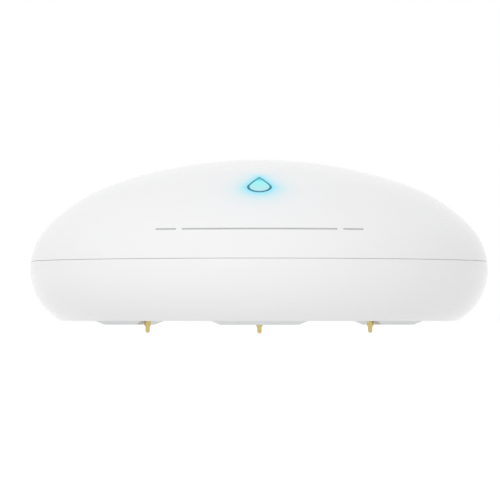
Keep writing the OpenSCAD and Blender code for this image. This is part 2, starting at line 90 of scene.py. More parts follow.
# Casing: three tangent arcs from the crown to the widest line, as the solids have them
SIDE_R = 9.9
SIDE_ANGLE = math.radians(43.4)
SHOULDER_R = 25.9
WIDEST_H = 8.0
SEAM_H = 9.4
WALL = 2.0
UNDER_Z = box_mm("base_shell")[0][2]
BODY_R = box_mm("base_shell")[1][0]
SKIRT_Z = box_mm("top_cover")[0][2]
CROWN_Z = box_mm("top_cover")[1][2]
WIDEST_Z = UNDER_Z + WIDEST_H
SEAM_Z = UNDER_Z + SEAM_H
SIDE_C = np.array([BODY_R - SIDE_R, WIDEST_Z])
SHOULDER_C = SIDE_C - (SHOULDER_R - SIDE_R) * np.array([math.cos(SIDE_ANGLE), math.sin(SIDE_ANGLE)])
CROWN_RISE = CROWN_Z - SHOULDER_R - SHOULDER_C[1]
CROWN_R = SHOULDER_R + (SHOULDER_C[0] ** 2 + CROWN_RISE**2) / (2 * CROWN_RISE)
CROWN_C = np.array([0.0, CROWN_Z - CROWN_R])
CROWN_ANGLE = math.atan2(SHOULDER_C[1] - CROWN_C[1], SHOULDER_C[0])
CROWN_LEN = CROWN_R * (math.pi / 2 - CROWN_ANGLE)
SHOULDER_LEN = SHOULDER_R * (CROWN_ANGLE - SIDE_ANGLE)

# Skirt of the cover, and the lugs of its twist lock
SKIRT_OUT_R = 33.3
SKIRT_IN_R = 31.9
SEAL_GROOVE = 0.1
SEAL_LOW, SEAL_HIGH = 10.05, 11.25
LIP_DROP = 0.06
LIP_W = 0.6
LUG_OUT_R = 34.32
LUG_HALF = 2.4
LUG_H = 0.95
LUG_SLOPE = 0.184
LUG_ANGLES = np.radians([90, 210, 330])

# Drop window: its place on the shoulder, and the drop's own sizes
LENS_ANGLE = math.radians(67)
LENS_R = SHOULDER_C[0] + SHOULDER_R * math.cos(LENS_ANGLE)
LENS_Z = SHOULDER_C[1] + SHOULDER_R * math.sin(LENS_ANGLE)
LENS_TILT = math.pi / 2 - LENS_ANGLE
DROP_R = 1.87
DROP_ANGLE = math.radians(24)
DROP_SHIFT = (DROP_R - DROP_R / math.sin(DROP_ANGLE)) / 2
LENS_PLAY = 0.1
SEAT_DEPTH = 3.2
SEAT_W = 1.7
FLANGE_GAP = 0.05
FLANGE_T = 0.8
FLANGE_W = 0.9

# Board level, and the probes with their springs
BOARD_TOP = box_mm("circuit_board")[1][2]
SCREWS = ((0.0, 28.4), (-23.4, -16.1), (23.4, -16.1))
SIDES = ("front", "left", "right")
WIRE_R = 0.08
SPRING_TURNS = 7


# Limits of the shapes: how near a turned line comes to its axis in millimetres, the least difference that
# counts, the distance in metres at which points are merged, and the steps that find the casing's height
AXIS_R = 0.01
TINY = 1e-9
MERGE = 1e-7
LENS_STEPS = 40

# Finishes: detail of the tone spots and of the grain, the span of the grain that the gloss follows, and
# the tone spots of a drawn metal in widths of its lines
SPOT_DETAIL = 3.0
GRAIN_DETAIL = 4.0
GRAIN_SPAN = (0.3, 0.7)
SPOT_LINES = 6
BLACK = (0.0, 0.0, 0.0, 1.0)
WHITE = (1.0, 1.0, 1.0, 1.0)

# The casing's plastic: refraction, tone drift, sizes of its spots, mould waves and relief in millimetres,
# steps of its roughness, where the window's painted light starts past the drop, and how strongly that
# painted light glows
ABS_IOR = 1.54
ABS_DRIFT = 0.008
ABS_SPOT = 14
ABS_WAVE = 3.5
ABS_RELIEF = 0.0012
ABS_POLISH = (-0.03, 0.04)
HALO_START = 0.2
HALO_GLOW = 0.12


def colour_setting(name, description, code):
    """A colour, its default given as an sRGB hex code."""
    return bpy.props.FloatVectorProperty(
        name=name, description=description, subtype="COLOR", size=4, min=0, max=1, default=linear(code))


def length_setting(name, description, default, low, high):
    """A length, its default and limits given in millimetres."""
    return bpy.props.FloatProperty(
        name=name, description=description, subtype="DISTANCE", unit="LENGTH", default=default * MM,
        min=low * MM, max=high * MM)


def power_setting(name, description, default):
    """The power of a lamp, in watts."""
    return bpy.props.FloatProperty(
        name=name, description=description, subtype="POWER", unit="POWER", default=default, min=0, max=50)


def share_setting(name, description, default, high):
    """A plain share, from nought to a highest value."""
    return bpy.props.FloatProperty(
        name=name, description=description, subtype="FACTOR", default=default, min=0, max=high)


class CasingSettings(bpy.types.PropertyGroup):
    """Sizes and colours of the two shells."""

    white: colour_setting("White", "Colour of the moulded shells", "F4F4F5")
    edge: length_setting("Edge radius", "Rounding of the seam and window edges", 0.07, 0.02, 0.3)
    gloss: share_setting("Roughness", "Roughness of the polished mould finish", 0.16, 1)


class WindowSettings(bpy.types.PropertyGroup):
    """Colours of the lit drop window and of the light that bleeds into the shell round it."""

    tip: colour_setting("Tip", "Colour of the lit drop at its point", "34C2D8")
    middle: colour_setting("Middle", "Colour of the lit drop over the light", "93F5F9")
    bulb: colour_setting("Bulb", "Colour of the lit drop at its round end", "B8EFF3")
    # Painted shade: the two rim colours darken the drop's glow along its edge, where the light is guided
    # past it
    rim: colour_setting("Rim", "Colour of the drop's dark edge near its point", "1E6F86")
    bulb_edge_shade: colour_setting("Lower rim", "Colour of the drop's edge round its bulb", "4F8CA6")
    # Painted light: the shell next to the window takes this cyan as its colour and a faint glow, fading over
    # the reach, in place of the window's light bleeding through
    painted_halo: colour_setting("Halo", "Tint of the shell next to the window", "86E0F2")
    reach: length_setting("Halo reach", "Distance over which the tint fades to a third", 1.3, 0.2, 5)
    bulge: length_setting("Bulge", "Height of the window's crown over the shell", 0.06, 0, 0.3)


class PrintSettings(bpy.types.PropertyGroup):
    """The plain foil lines on the front of the cover."""

    silver: colour_setting("Silver", "Colour of the foil", "B9BABB")
    width: length_setting("Line width", "Width of the foil lines", 0.26, 0.1, 1)


class MetalSettings(bpy.types.PropertyGroup):
    """Colours of the plated and bare metals."""

    gold: colour_setting("Gold", "Colour of the gold plate", "D3C081")
    nickel: colour_setting("Nickel", "Colour of the nickel plate", "CFCBC2")
    steel: colour_setting("Steel", "Colour of the spring and screw steel", "C3C5C8")


class BoardSettings(bpy.types.PropertyGroup):
    """Colours of the board and of what sits on it."""

    mask: colour_setting("Solder mask", "Colour of the board's lacquer", "14573A")
    sleeve: colour_setting("Battery sleeve", "Colour of the battery's plain sleeve", "2F5F86")


class StageSettings(bpy.types.PropertyGroup):
    """Camera and light."""

    focal: bpy.props.FloatProperty(
        name="Focal length", description="Focal length on a 36 mm sensor, in millimetres",
        subtype="DISTANCE_CAMERA", unit="CAMERA", default=274, min=50, max=500)
    distance: length_setting("Distance", "Distance of the camera from the casing's axis", 600, 200, 2000)
    key: power_setting("Key light", "Power of the large lamp at the upper left", 1.6)
    front: power_setting("Front light", "Power of the large lamp beside the camera", 1.5)
    fill: share_setting("Room light", "Strength of the even light from all round", 0.78, 2)
    bounce: share_setting("Floor light", "Strength of the light that the floor throws up", 0.66, 2)


class SensorSettings(bpy.types.PropertyGroup):
    """All the settings of the leak sensor."""

    casing: bpy.props.PointerProperty(type=CasingSettings)
    window: bpy.props.PointerProperty(type=WindowSettings)
    print: bpy.props.PointerProperty(type=PrintSettings)
    metal: bpy.props.PointerProperty(type=MetalSettings)
    board: bpy.props.PointerProperty(type=BoardSettings)
    stage: bpy.props.PointerProperty(type=StageSettings)


# Shapes: each function returns points and faces of one closed shell


def loft(loops, ring=False):
    """Skin over a stack of closed loops, an array of rows, columns and coordinates. With ring, the last
    loop joins the first; otherwise each end is closed by one flat face."""
    rows, cols = loops.shape[:2]
    index = np.arange(rows * cols).reshape(rows, cols)
    upper = np.roll(index, -1, axis=0) if ring else index[1:]
    lower = index if ring else index[:-1]
    quads = np.stack([lower, np.roll(lower, -1, axis=1), np.roll(upper, -1, axis=1), upper], axis=-1)
    faces = quads.reshape(-1, 4).tolist()
    if not ring:
        faces += [index[0, ::-1].tolist(), index[-1].tolist()]
    return loops.reshape(-1, 3), faces


def rounded(corners, radii, steps=5):
    """A line through corners, each corner replaced by an arc of its radius: the arc runs between the
    two points at radius times the tangent of half the turn, along the normals turned in equal steps."""
    corners = np.asarray(corners, float)
    radii = np.asarray(radii, float)
    before = corners[1:-1] - corners[:-2]
    after = corners[2:] - corners[1:-1]
    before = before / np.linalg.norm(before, axis=1, keepdims=True)
    after = after / np.linalg.norm(after, axis=1, keepdims=True)
    turn = np.arctan2(before[:, 0] * after[:, 1] - before[:, 1] * after[:, 0], (before * after).sum(1))
    start = corners[1:-1] - before * (radii * np.tan(np.abs(turn) / 2))[:, None]
    left = np.stack([-before[:, 1], before[:, 0]], axis=1) * np.sign(turn)[:, None]
    share = np.linspace(0, 1, steps)[None, :] * turn[:, None]
    bent = (left[:, None] * (1 - np.cos(share))[..., None]
            + before[:, None] * np.sin(np.abs(share))[..., None])
    arcs = start[:, None] + bent * radii[:, None, None]
    return np.concatenate([corners[:1], arcs.reshape(-1, 2), corners[-1:]])


def around(r, turn, z, at=(0.0, 0.0)):
    """Points at a radius and height, turned round a vertical axis: x = r cos t, y = r sin t."""
    return np.stack(np.broadcast_arrays(at[0] + r * np.cos(turn), at[1] + r * np.sin(turn), z), axis=-1)


def lathe(line, at=(0.0, 0.0), spin=64, ring=False):
    """A line of radius and height turned round a vertical axis. With ring the line is a closed outline;
    otherwise its ends are closed by flat discs."""
    t = np.linspace(0, 2 * np.pi, spin, endpoint=False)
    line = np.asarray(line, float)
    return loft(around(line[:, :1], t, line[:, 1:], at), ring)


def block(low, high, edge, corner=None, turn=0.0, steps=4):
    """A block with round corners and a rounded top rim: a rectangle whose corners are arcs, carried up
    and drawn in by edge (1 - cos a) at height edge sin a under the top."""
    low, high = np.asarray(low, float), np.asarray(high, float)
    corner = max(edge, corner or edge)
    a = np.linspace(0, np.pi / 2, steps)
    quarter = np.pi / 2 * np.arange(4)[:, None] + a
    half = (high - low)[:2] / 2 - corner
    signs = np.array([[1, 1], [-1, 1], [-1, -1], [1, -1]])
    centres = np.repeat(signs * half, steps, axis=0)
    ways = np.stack([np.cos(quarter), np.sin(quarter)], axis=-1).reshape(-1, 2)
    inset = np.concatenate([[0.0], edge * (1 - np.cos(a))])
    height = np.concatenate([[low[2]], high[2] - edge + edge * np.sin(a)])
    flat = centres + ways * (corner - inset)[:, None, None]
    c, s = math.cos(turn), math.sin(turn)
    middle_xy = (low + high)[:2] / 2
    flat = flat @ np.array([[c, s], [-s, c]]) + middle_xy
    loops = np.concatenate([flat, np.broadcast_to(height[:, None, None], (*flat.shape[:2], 1))], axis=-1)
    return loft(loops)


def tube(path, radius, sides=10):
    """A round wire along a path: a circle in the plane of the path's normal and binormal, where the
    normal points away from the z axis through the path's middle."""
    path = np.asarray(path, float)
    along = np.gradient(path, axis=0)
    along /= np.linalg.norm(along, axis=1, keepdims=True)
    out = (path - path.mean(0)) * [1, 1, 0]
    out -= (out * along).sum(1, keepdims=True) * along
    out /= np.linalg.norm(out, axis=1, keepdims=True)
    up = np.cross(along, out)
    t = np.linspace(0, 2 * np.pi, sides, endpoint=False)
    loops = path[:, None] + radius * (np.cos(t)[:, None] * out[:, None] + np.sin(t)[:, None] * up[:, None])
    return loft(loops)


def ribbon(points, width, low, high):
    """A flat track along a line in the board's plane: each corner is moved sideways by half the width
    along the mitre of its two stretches, and the outline is raised from low to high."""
    points = np.asarray(points, float)
    step = np.diff(points, axis=0)
    step /= np.linalg.norm(step, axis=1, keepdims=True)
    side = np.stack([-step[:, 1], step[:, 0]], axis=1)
    mitre = np.concatenate([side[:1], side[:-1] + side[1:], side[-1:]])
    mitre /= np.linalg.norm(mitre, axis=1, keepdims=True)
    stretch = np.concatenate([[1.0], 1 / (mitre[1:-1] * side[1:]).sum(1), [1.0]])
    shift = mitre * (width / 2 * stretch)[:, None]
    flat = np.stack([points - shift, points + shift, points + shift, points - shift], axis=1)
    height = np.broadcast_to(np.array([low, low, high, high])[None, :, None], (len(points), 4, 1))
    return loft(np.concatenate([flat, height], axis=-1))


def drum(at, r, low, high, rims, spin):
    """A turned cylinder. rims are the roundings of its lower and upper edge."""
    return lathe(rounded([[AXIS_R, low], [r, low], [r, high], [AXIS_R, high]], rims), at, spin)


def annulus(at, in_r, out_r, low, high):
    """A flat ring with square edges."""
    return lathe([[in_r, low], [out_r, low], [out_r, high], [in_r, high]], at, 56, ring=True)


def lead(centre, turn, place, reach, height, width):
    """A bent metal lead on the board: a flat strip that leaves a part's side at a height over the board,
    bends down and lies on its land. place is its start, outwards and sideways, before it is turned."""
    thick = 0.12
    out = np.array([0.0, 0.3, 0.5, 0.62, 1.0]) * reach + place[0]
    rise = np.array([height, height, height * 0.45, thick, thick]) + BOARD_TOP - thick / 2
    side = place[1] + width / 2 * np.array([-1, 1, 1, -1])
    z = rise[:, None] + thick / 2 * np.array([-1, -1, 1, 1])
    c, s = math.cos(turn), math.sin(turn)
    x = centre[0] + c * out[:, None] - s * side
    y = centre[1] + s * out[:, None] + c * side
    return loft(np.stack([x, y, z], axis=-1))


def make_piece(name, shells, materials, body, replaced=(), sharp=40, uv=None):
    """One object from closed shells. Each shell is points and faces in millimetres, and may name the
    number of its material as a third value. Doubled points are merged and the faces turned outwards."""
    points, faces, which = [], [], []
    count = 0
    for shell in shells:
        points.append(shell[0])
        faces += [[i + count for i in face] for face in shell[1]]
        which += [shell[2] if len(shell) > 2 else 0] * len(shell[1])
        count += len(shell[0])
    mesh = bpy.data.meshes.new(name)
    mesh.from_pydata(np.concatenate(points) * MM, [], faces)
    mesh.polygons.foreach_set("material_index", np.array(which, np.int32))
    if uv is not None:
        layer = mesh.uv_layers.new(name="drop")
        corner = np.zeros(len(mesh.loops), np.int32)
        mesh.loops.foreach_get("vertex_index", corner)
        layer.data.foreach_set("uv", uv[corner].astype(np.float32).ravel())
    work = bmesh.new()
    work.from_mesh(mesh)
    bmesh.ops.remove_doubles(work, verts=work.verts, dist=MERGE)
    bmesh.ops.recalc_face_normals(work, faces=work.faces)
    work.to_mesh(mesh)
    work.free()
    mesh.polygons.foreach_set("use_smooth", np.ones(len(mesh.polygons), bool))
    mesh.set_sharp_from_angle(angle=math.radians(sharp))
    for material in materials:
        mesh.materials.append(material)
    piece = bpy.data.objects.new(name, mesh)
    bpy.context.scene.collection.objects.link(piece)
    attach(piece, body)
    if replaced:
        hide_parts(*replaced)
    return piece


def dress(material, *nodes):
    """Gives a material to solids that are shown as they are."""
    for node in nodes:
        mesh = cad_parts[node].data
        mesh.materials.clear()
        mesh.materials.append(material)


# Casing and drop surfaces


def casing_at(s, inset=0.0):
    """Radius and height of the casing at a length s from the crown along its outline: the angle falls by
    length over radius through the crown, shoulder and side arcs. inset moves it in along the normal."""
    crown = np.pi / 2 - s / CROWN_R
    shoulder = CROWN_ANGLE - (s - CROWN_LEN) / SHOULDER_R
    side = SIDE_ANGLE - (s - CROWN_LEN - SHOULDER_LEN) / SIDE_R
    first, second = s < CROWN_LEN, s < CROWN_LEN + SHOULDER_LEN
    angle = np.where(first, crown, np.where(second, shoulder, side))
    size = np.where(first, CROWN_R, np.where(second, SHOULDER_R, SIDE_R)) - inset
    r = np.where(first, CROWN_C[0], np.where(second, SHOULDER_C[0], SIDE_C[0])) + size * np.cos(angle)
    z = np.where(first, CROWN_C[1], np.where(second, SHOULDER_C[1], SIDE_C[1])) + size * np.sin(angle)
    return r, z


def length_at(r, inset=0.0):
    """The outline length at which the casing has a radius: the inverse of casing_at."""
    crown = CROWN_R * (np.pi / 2 - np.arccos(np.clip((r - CROWN_C[0]) / (CROWN_R - inset), -1, 1)))
    shoulder_angle = np.arccos(np.clip((r - SHOULDER_C[0]) / (SHOULDER_R - inset), -1, 1))
    side_angle = np.arccos(np.clip((r - SIDE_C[0]) / (SIDE_R - inset), -1, 1))
    first_r, second_r = casing_at(np.array([CROWN_LEN - TINY, CROWN_LEN + SHOULDER_LEN - TINY]), inset)[0]
    shoulder = CROWN_LEN + SHOULDER_R * (CROWN_ANGLE - shoulder_angle)
    side = CROWN_LEN + SHOULDER_LEN + SIDE_R * (SIDE_ANGLE - side_angle)
    return np.where(r < first_r, crown, np.where(r < second_r, shoulder, side))


def drop_outline(t, grow):
    """Points of the drop at directions t from its middle: the ray meets the round end, or the tangent
    from the round end to the point, whichever bounds it there."""
    r = DROP_R + grow
    way = np.stack([np.cos(t), np.sin(t)], axis=-1)
    along = way[..., 1] * DROP_SHIFT
    on_round = along + np.sqrt(along**2 - DROP_SHIFT**2 + r**2)
    tip = r / math.sin(DROP_ANGLE) + DROP_SHIFT
    facing = np.abs(way[..., 0]) * math.cos(DROP_ANGLE) + way[..., 1] * math.sin(DROP_ANGLE)
    on_line = tip * math.sin(DROP_ANGLE) / np.maximum(facing, TINY)
    touch = math.atan2(r * math.sin(DROP_ANGLE) + DROP_SHIFT, r * math.cos(DROP_ANGLE))
    rise = np.arctan2(way[..., 1], np.abs(way[..., 0]))
    return way * np.where(rise > touch, on_line, on_round)[..., None]


def lens_point(flat, depth):
    """Points given in the window's plane and at a height over it, in the frame of the solids."""
    c, s = math.cos(LENS_TILT), math.sin(LENS_TILT)
    x, y, z = flat[..., 0], flat[..., 1], depth
    return np.stack([x, -LENS_R + c * y - s * z, LENS_Z + s * y + c * z], axis=-1)


def lens_height(flat, inset=0.0):
    """Height over the window's plane at which the casing lies: repeated steps along the window's axis
    by the height that is still missing."""
    height = np.zeros(flat.shape[:-1])
    for _ in range(LENS_STEPS):
        point = lens_point(flat, height)
        r = np.hypot(point[..., 0], point[..., 1])
        height = height + (casing_at(length_at(r, inset), inset)[1] - point[..., 2]) * math.cos(LENS_TILT)
    return height


def rays(inner, start_s, end_s, inset, rows):
    """Loops on the casing between an outline round the window and a circle: in the flat map where a
    point lies at its outline length from the crown, each loop is a share of the way along straight rays
    from the window's middle."""
    bearing = np.arctan2(inner[..., 1], inner[..., 0])
    s = length_at(np.hypot(inner[..., 0], inner[..., 1]), inset)
    near = np.stack([s * np.cos(bearing), s * np.sin(bearing)], axis=-1)
    centre = np.array([0.0, -start_s])
    way = near - centre
    way /= np.linalg.norm(way, axis=-1, keepdims=True)
    along = way @ centre
    far = centre + way * (-along + np.sqrt(along**2 - start_s**2 + end_s**2))[:, None]
    share = np.linspace(0, 1, rows)[:, None, None]
    flat = near + (far - near) * share
    length, bearing = np.hypot(flat[..., 0], flat[..., 1]), np.arctan2(flat[..., 1], flat[..., 0])
    r, z = casing_at(length, inset)
    return around(r, bearing, z)


# Materials


def empty_tree(owner):
    """The node tree of a material or world, with no nodes yet."""
    owner.use_nodes = True
    owner.node_tree.nodes.clear()
    return owner.node_tree


def add_node(tree, kind, inputs=None, **settings):
    """Adds a node with its settings. Each input is fed by another node's output or holds a constant."""
    node = tree.nodes.new(kind)
    for name, value in settings.items():
        setattr(node, name, value)
    for key, value in (inputs or {}).items():
        if isinstance(value, bpy.types.NodeSocket):
            tree.links.new(value, node.inputs[key])
        else:
            node.inputs[key].default_value = value
    return node


def blend(tree, share, first, second):
    """A colour that passes from the first to the second as the share goes from nought to one."""
    return add_node(tree, "ShaderNodeMix", {0: share, 6: first, 7: second}, data_type="RGBA").outputs[2]


def ramp(tree, value, start, end, low=0.0, high=1.0, **settings):
    """A value that goes from low to high while another goes from start to end."""
    span = {"Value": value, "From Min": start, "From Max": end, "To Min": low, "To Max": high}
    return add_node(tree, "ShaderNodeMapRange", span, **settings).outputs["Result"]


def maths(tree, operation, first, second=0.0, **settings):
    """The result of one calculation with two values."""
    node = add_node(tree, "ShaderNodeMath", {0: first, 1: second}, operation=operation, **settings)
    return node.outputs[0]


def noise(tree, place, size, detail):
    """A noise whose features have a size in millimetres."""
    texture = {"Vector": place, "Scale": 1 / (size * MM), "Detail": detail}
    return add_node(tree, "ShaderNodeTexNoise", texture).outputs["Fac"]


def start_material(name, **constants):
    """A material with one principled shader, its constant inputs, and Object coordinates."""
    material = bpy.data.materials.new(name)
    tree = empty_tree(material)
    sockets = {key.replace("_", " "): value for key, value in constants.items()}
    shader = add_node(tree, "ShaderNodeBsdfPrincipled", sockets)
    add_node(tree, "ShaderNodeOutputMaterial", {"Surface": shader.outputs["BSDF"]})
    place = add_node(tree, "ShaderNodeTexCoord").outputs["Object"]
    return material, tree, shader, place


def finish_surface(tree, shader, place, colours, spot, grain, rough, relief):
    """Colour drifts between two tones over spots of a size in millimetres; gloss drifts between two
    roughnesses and the relief, in millimetres, follows a finer grain. Returns the drifting colour."""
    tone = blend(tree, noise(tree, place, spot, SPOT_DETAIL), *colours)
    tree.links.new(tone, shader.inputs["Base Color"])
    fine = noise(tree, place, grain, GRAIN_DETAIL)
    tree.links.new(ramp(tree, fine, *GRAIN_SPAN, *rough), shader.inputs["Roughness"])
    bump = add_node(tree, "ShaderNodeBump", {"Height": fine, "Strength": 1.0, "Distance": relief * MM})
    tree.links.new(bump.outputs["Normal"], shader.inputs["Normal"])
    return tone


def shade(colour, share):
    """A linear colour made darker or lighter by a share."""
    return (*[min(1.0, c * share) for c in colour[:3]], 1.0)


def drifting(colour, drift):
    """The darker and the lighter tone of a colour that drifts by a share."""
    return shade(colour, 1 - drift), shade(colour, 1 + drift)


def plain_finish(name, colour, spot, grain, rough, relief, drift=0.06, **constants):
    """A finish that only drifts in tone, gloss and relief."""
    material, tree, shader, place = start_material(name, **constants)
    finish_surface(tree, shader, place, drifting(colour, drift), spot, grain, rough, relief)
    return material


def drawn_finish(name, colour, stretch, line, rough, relief, drift=0.08):
    """A metal with fine lines in one direction, from turning, drawing or brushing: the grain is a noise
    whose coordinates are squeezed along the lines."""
    material, tree, shader, place = start_material(name, Metallic=1.0)
    squeezed = add_node(tree, "ShaderNodeMapping", {"Vector": place, "Scale": stretch}).outputs["Vector"]
    finish_surface(tree, shader, squeezed, drifting(colour, drift), line * SPOT_LINES, line, rough, relief)
    return material


def polish(look):
    """Lowest and highest roughness of the casing's polish."""
    return tuple(look.casing.gloss + step for step in ABS_POLISH)


def moulded_abs(look):
    """Gloss white ABS from a polished mould: even white, a soft wide gloss, and the faint waviness of
    the mould's polish."""
    return plain_finish("moulded white ABS", look.casing.white, ABS_SPOT, ABS_WAVE, polish(look), ABS_RELIEF,
                        drift=ABS_DRIFT, IOR=ABS_IOR)


def lit_abs(look):
    """The same ABS with the window's light painted into it: next to the drop its colour is painted cyan and
    glows a little, and this painted light fades with the distance from the drop."""
    material, tree, shader, place = start_material(
        "moulded white ABS, lit round the window", IOR=ABS_IOR, Emission_Strength=1.0)
    tones = drifting(look.casing.white, ABS_DRIFT)
    tone = finish_surface(tree, shader, place, tones, ABS_SPOT, ABS_WAVE, polish(look), ABS_RELIEF)
    # Distance from the drop: from the nearest point on its axis, less the drop's half width there
    low_y = DROP_SHIFT * MM
    tip_y = (DROP_SHIFT + DROP_R / math.sin(DROP_ANGLE)) * MM
    window_place = {"Location": (0.0, -LENS_R * MM, LENS_Z * MM), "Rotation": (LENS_TILT, 0.0, 0.0)}
    local = add_node(tree, "ShaderNodeMapping", {"Vector": place, **window_place}, vector_type="TEXTURE")
    axes = add_node(tree, "ShaderNodeSeparateXYZ", {"Vector": local.outputs["Vector"]}).outputs
    on_axis = add_node(tree, "ShaderNodeClamp", {"Value": axes["Y"], "Min": low_y, "Max": tip_y})
    beyond = maths(tree, "SUBTRACT", axes["Y"], on_axis.outputs["Result"])
    across = add_node(tree, "ShaderNodeCombineXYZ", {"X": axes["X"], "Y": beyond})
    away = add_node(tree, "ShaderNodeVectorMath", {0: across.outputs["Vector"]}, operation="LENGTH")
    half = ramp(tree, axes["Y"], low_y, tip_y, (DROP_R + HALO_START) * MM, HALO_START * MM)
    past = maths(tree, "SUBTRACT", away.outputs["Value"], half)
    fade = maths(tree, "MULTIPLY", past, -1 / look.window.reach)
    near = maths(tree, "EXPONENT", fade, use_clamp=True)
    # Painted light: next to the drop the base colour turns to the window's cyan and a faint cyan glow is
    # added
    tree.links.new(blend(tree, near, tone, look.window.painted_halo), shader.inputs["Base Color"])
    glow = blend(tree, near, BLACK, shade(look.window.painted_halo, HALO_GLOW))
    tree.links.new(glow, shader.inputs["Emission Color"])
    return material


def lit_window(look):
    """Tinted polycarbonate light guide, polished: it glows from the light below it, stronger blue at the
    point and pale at the round end, and its edge stays dark where the light is guided past it."""
    material, tree, shader, place = start_material(
        "tinted polycarbonate window", IOR=1.58, Specular_IOR_Level=0.03, Emission_Strength=0.68)
    window = look.window
    mapped = add_node(tree, "ShaderNodeUVMap", uv_map="drop").outputs["UV"]
    parts = add_node(tree, "ShaderNodeSeparateXYZ", {"Vector": mapped}).outputs
    depth, rise = parts["X"], parts["Y"]
    # Spans of the rise, from the round end to the point, and of the depth inside the edge, in millimetres
    lower = blend(tree, ramp(tree, rise, 0.2, 0.6), window.bulb, window.middle)
    body = blend(tree, ramp(tree, rise, 0.58, 0.88), lower, window.tip)
    # Painted shade: near the edge the glow and its base colour darken to the rim colours
    rim = blend(tree, ramp(tree, rise, 0.05, 0.5), window.bulb_edge_shade, window.rim)
    edge = ramp(tree, depth, 0.36, 0.16, interpolation_type="SMOOTHSTEP")
    gloss = ramp(tree, noise(tree, place, 0.8, 2.0), 0.0, 1.0, 0.06, 0.16)
    tree.links.new(gloss, shader.inputs["Roughness"])
    colour = blend(tree, edge, body, rim)
    tree.links.new(blend(tree, 0.7, colour, BLACK), shader.inputs["Base Color"])
    tree.links.new(colour, shader.inputs["Emission Color"])
    return material


def foil(look):
    """Silver hot-stamping foil: thin, satin and slightly uneven where it took on the plastic."""
    return plain_finish("silver stamping foil", look.print.silver, 2.0, 0.3, (0.28, 0.42), 0.001, drift=0.12,
                        Metallic=0.6)


def gold_plate(look):
    """Gold plate on turned brass: bright, with the fine rings of the lathe round the pin."""
    return drawn_finish("gold plated turned brass", look.metal.gold, (0.05, 0.05, 1.0), 0.05, (0.16, 0.3),
                        0.0008)


def spring_steel(look):
    """Hard drawn spring wire: bright steel with fine die lines."""
    return drawn_finish("drawn spring steel", look.metal.steel, (1.0, 1.0, 1.0), 0.1, (0.2, 0.34), 0.0008)


def zinc_steel(look):
    """Zinc plated screw steel: slightly bluish, satin and faintly cloudy."""
    return plain_finish("zinc plated steel", look.metal.steel, 1.2, 0.15, (0.26, 0.42), 0.002, Metallic=1.0)


def nickel_sheet(look):
    """Nickel plated steel sheet: warm grey with rolling lines along its length."""
    return drawn_finish("nickel plated sheet", look.metal.nickel, (0.06, 1.0, 1.0), 0.12, (0.22, 0.36),
                        0.001)


def tinned(look):
    """Tinned solder lands: bright, slightly pillowed and uneven."""
    return plain_finish("tinned copper", look.metal.steel, 0.6, 0.25, (0.2, 0.34), 0.004, Metallic=1.0)


def pad_rubber(_look):
    """White thermoplastic rubber from an eroded mould: satin, with a fine even grain."""
    return plain_finish("white thermoplastic rubber", linear("EAEBEC"), 5, 0.25, (0.5, 0.62), 0.006,
                        drift=0.015, IOR=1.5)


def silicone(_look):
    """Pale grey silicone: dull, soft, with a little dust in its skin."""
    return plain_finish("pale grey silicone", linear("A4A6A9"), 2.5, 0.3, (0.5, 0.66), 0.004, drift=0.08,
                        IOR=1.42)


def black_moulding(_look):
    """Black moulded plastic with a fine spark-eroded grain."""
    return plain_finish("black moulded plastic", linear("26272A"), 4, 0.22, (0.42, 0.58), 0.008, drift=0.1)


def chip_epoxy(_look):
    """Black filled epoxy: dull, with the fine speckle of its quartz filler."""
    return plain_finish("black filled epoxy", linear("1F2022"), 0.5, 0.1, (0.5, 0.66), 0.004, drift=0.22)


def white_nylon(_look):
    """White nylon: slightly warm, satin, and a touch cloudy."""
    return plain_finish("white nylon", linear("E9E7DF"), 1.5, 0.3, (0.36, 0.5), 0.003, drift=0.02)


def ceramic(_look):
    """Fired barium titanate ceramic: tan, matt, with a fine sintered grain."""
    return plain_finish("sintered ceramic", linear("9B7B58"), 0.5, 0.08, (0.45, 0.6), 0.004, drift=0.12)


def solder_mask(look):
    """Green solder mask over glass laminate: glossy lacquer with the faint print of the weave under it."""
    return plain_finish("green solder mask", look.board.mask, 1.1, 0.35, (0.2, 0.36), 0.004, drift=0.12)


def covered_copper(look):
    """Copper under the same lacquer: a lighter, yellower green that stands up a little."""
    return plain_finish("solder mask over copper", shade(look.board.mask, 2.1), 1.1, 0.35, (0.22, 0.34),
                        0.002)


def flash_gold(look):
    """Flash gold on bare copper lands: soft yellow and satin."""
    return plain_finish("flash gold", look.metal.gold, 0.5, 0.12, (0.26, 0.4), 0.002, Metallic=1.0)


def drawn_aluminium(look):
    """Drawn aluminium: bright grey with upright lines from the die."""
    return drawn_finish("drawn aluminium", look.metal.steel, (1.0, 1.0, 0.06), 0.1, (0.24, 0.38), 0.001)


def shrink_sleeve(look):
    """Plain shrunk polymer sleeve: smooth and glossy, pulled a little uneven round the can."""
    return plain_finish("shrunk polymer sleeve", look.board.sleeve, 6, 1.4, (0.2, 0.32), 0.008, drift=0.05)


def lit_silicone(look):
    """Clouded silicone over the lit chip: a pale cyan glow with a milky grain."""
    material, tree, shader, place = start_material("clouded silicone, lit", IOR=1.42, Emission_Strength=0.8)
    tones = (shade(look.window.bulb, 0.8), look.window.bulb)
    tone = finish_surface(tree, shader, place, tones, 0.5, 0.15, (0.2, 0.35), 0.002)
    tree.links.new(tone, shader.inputs["Emission Color"])
    return material


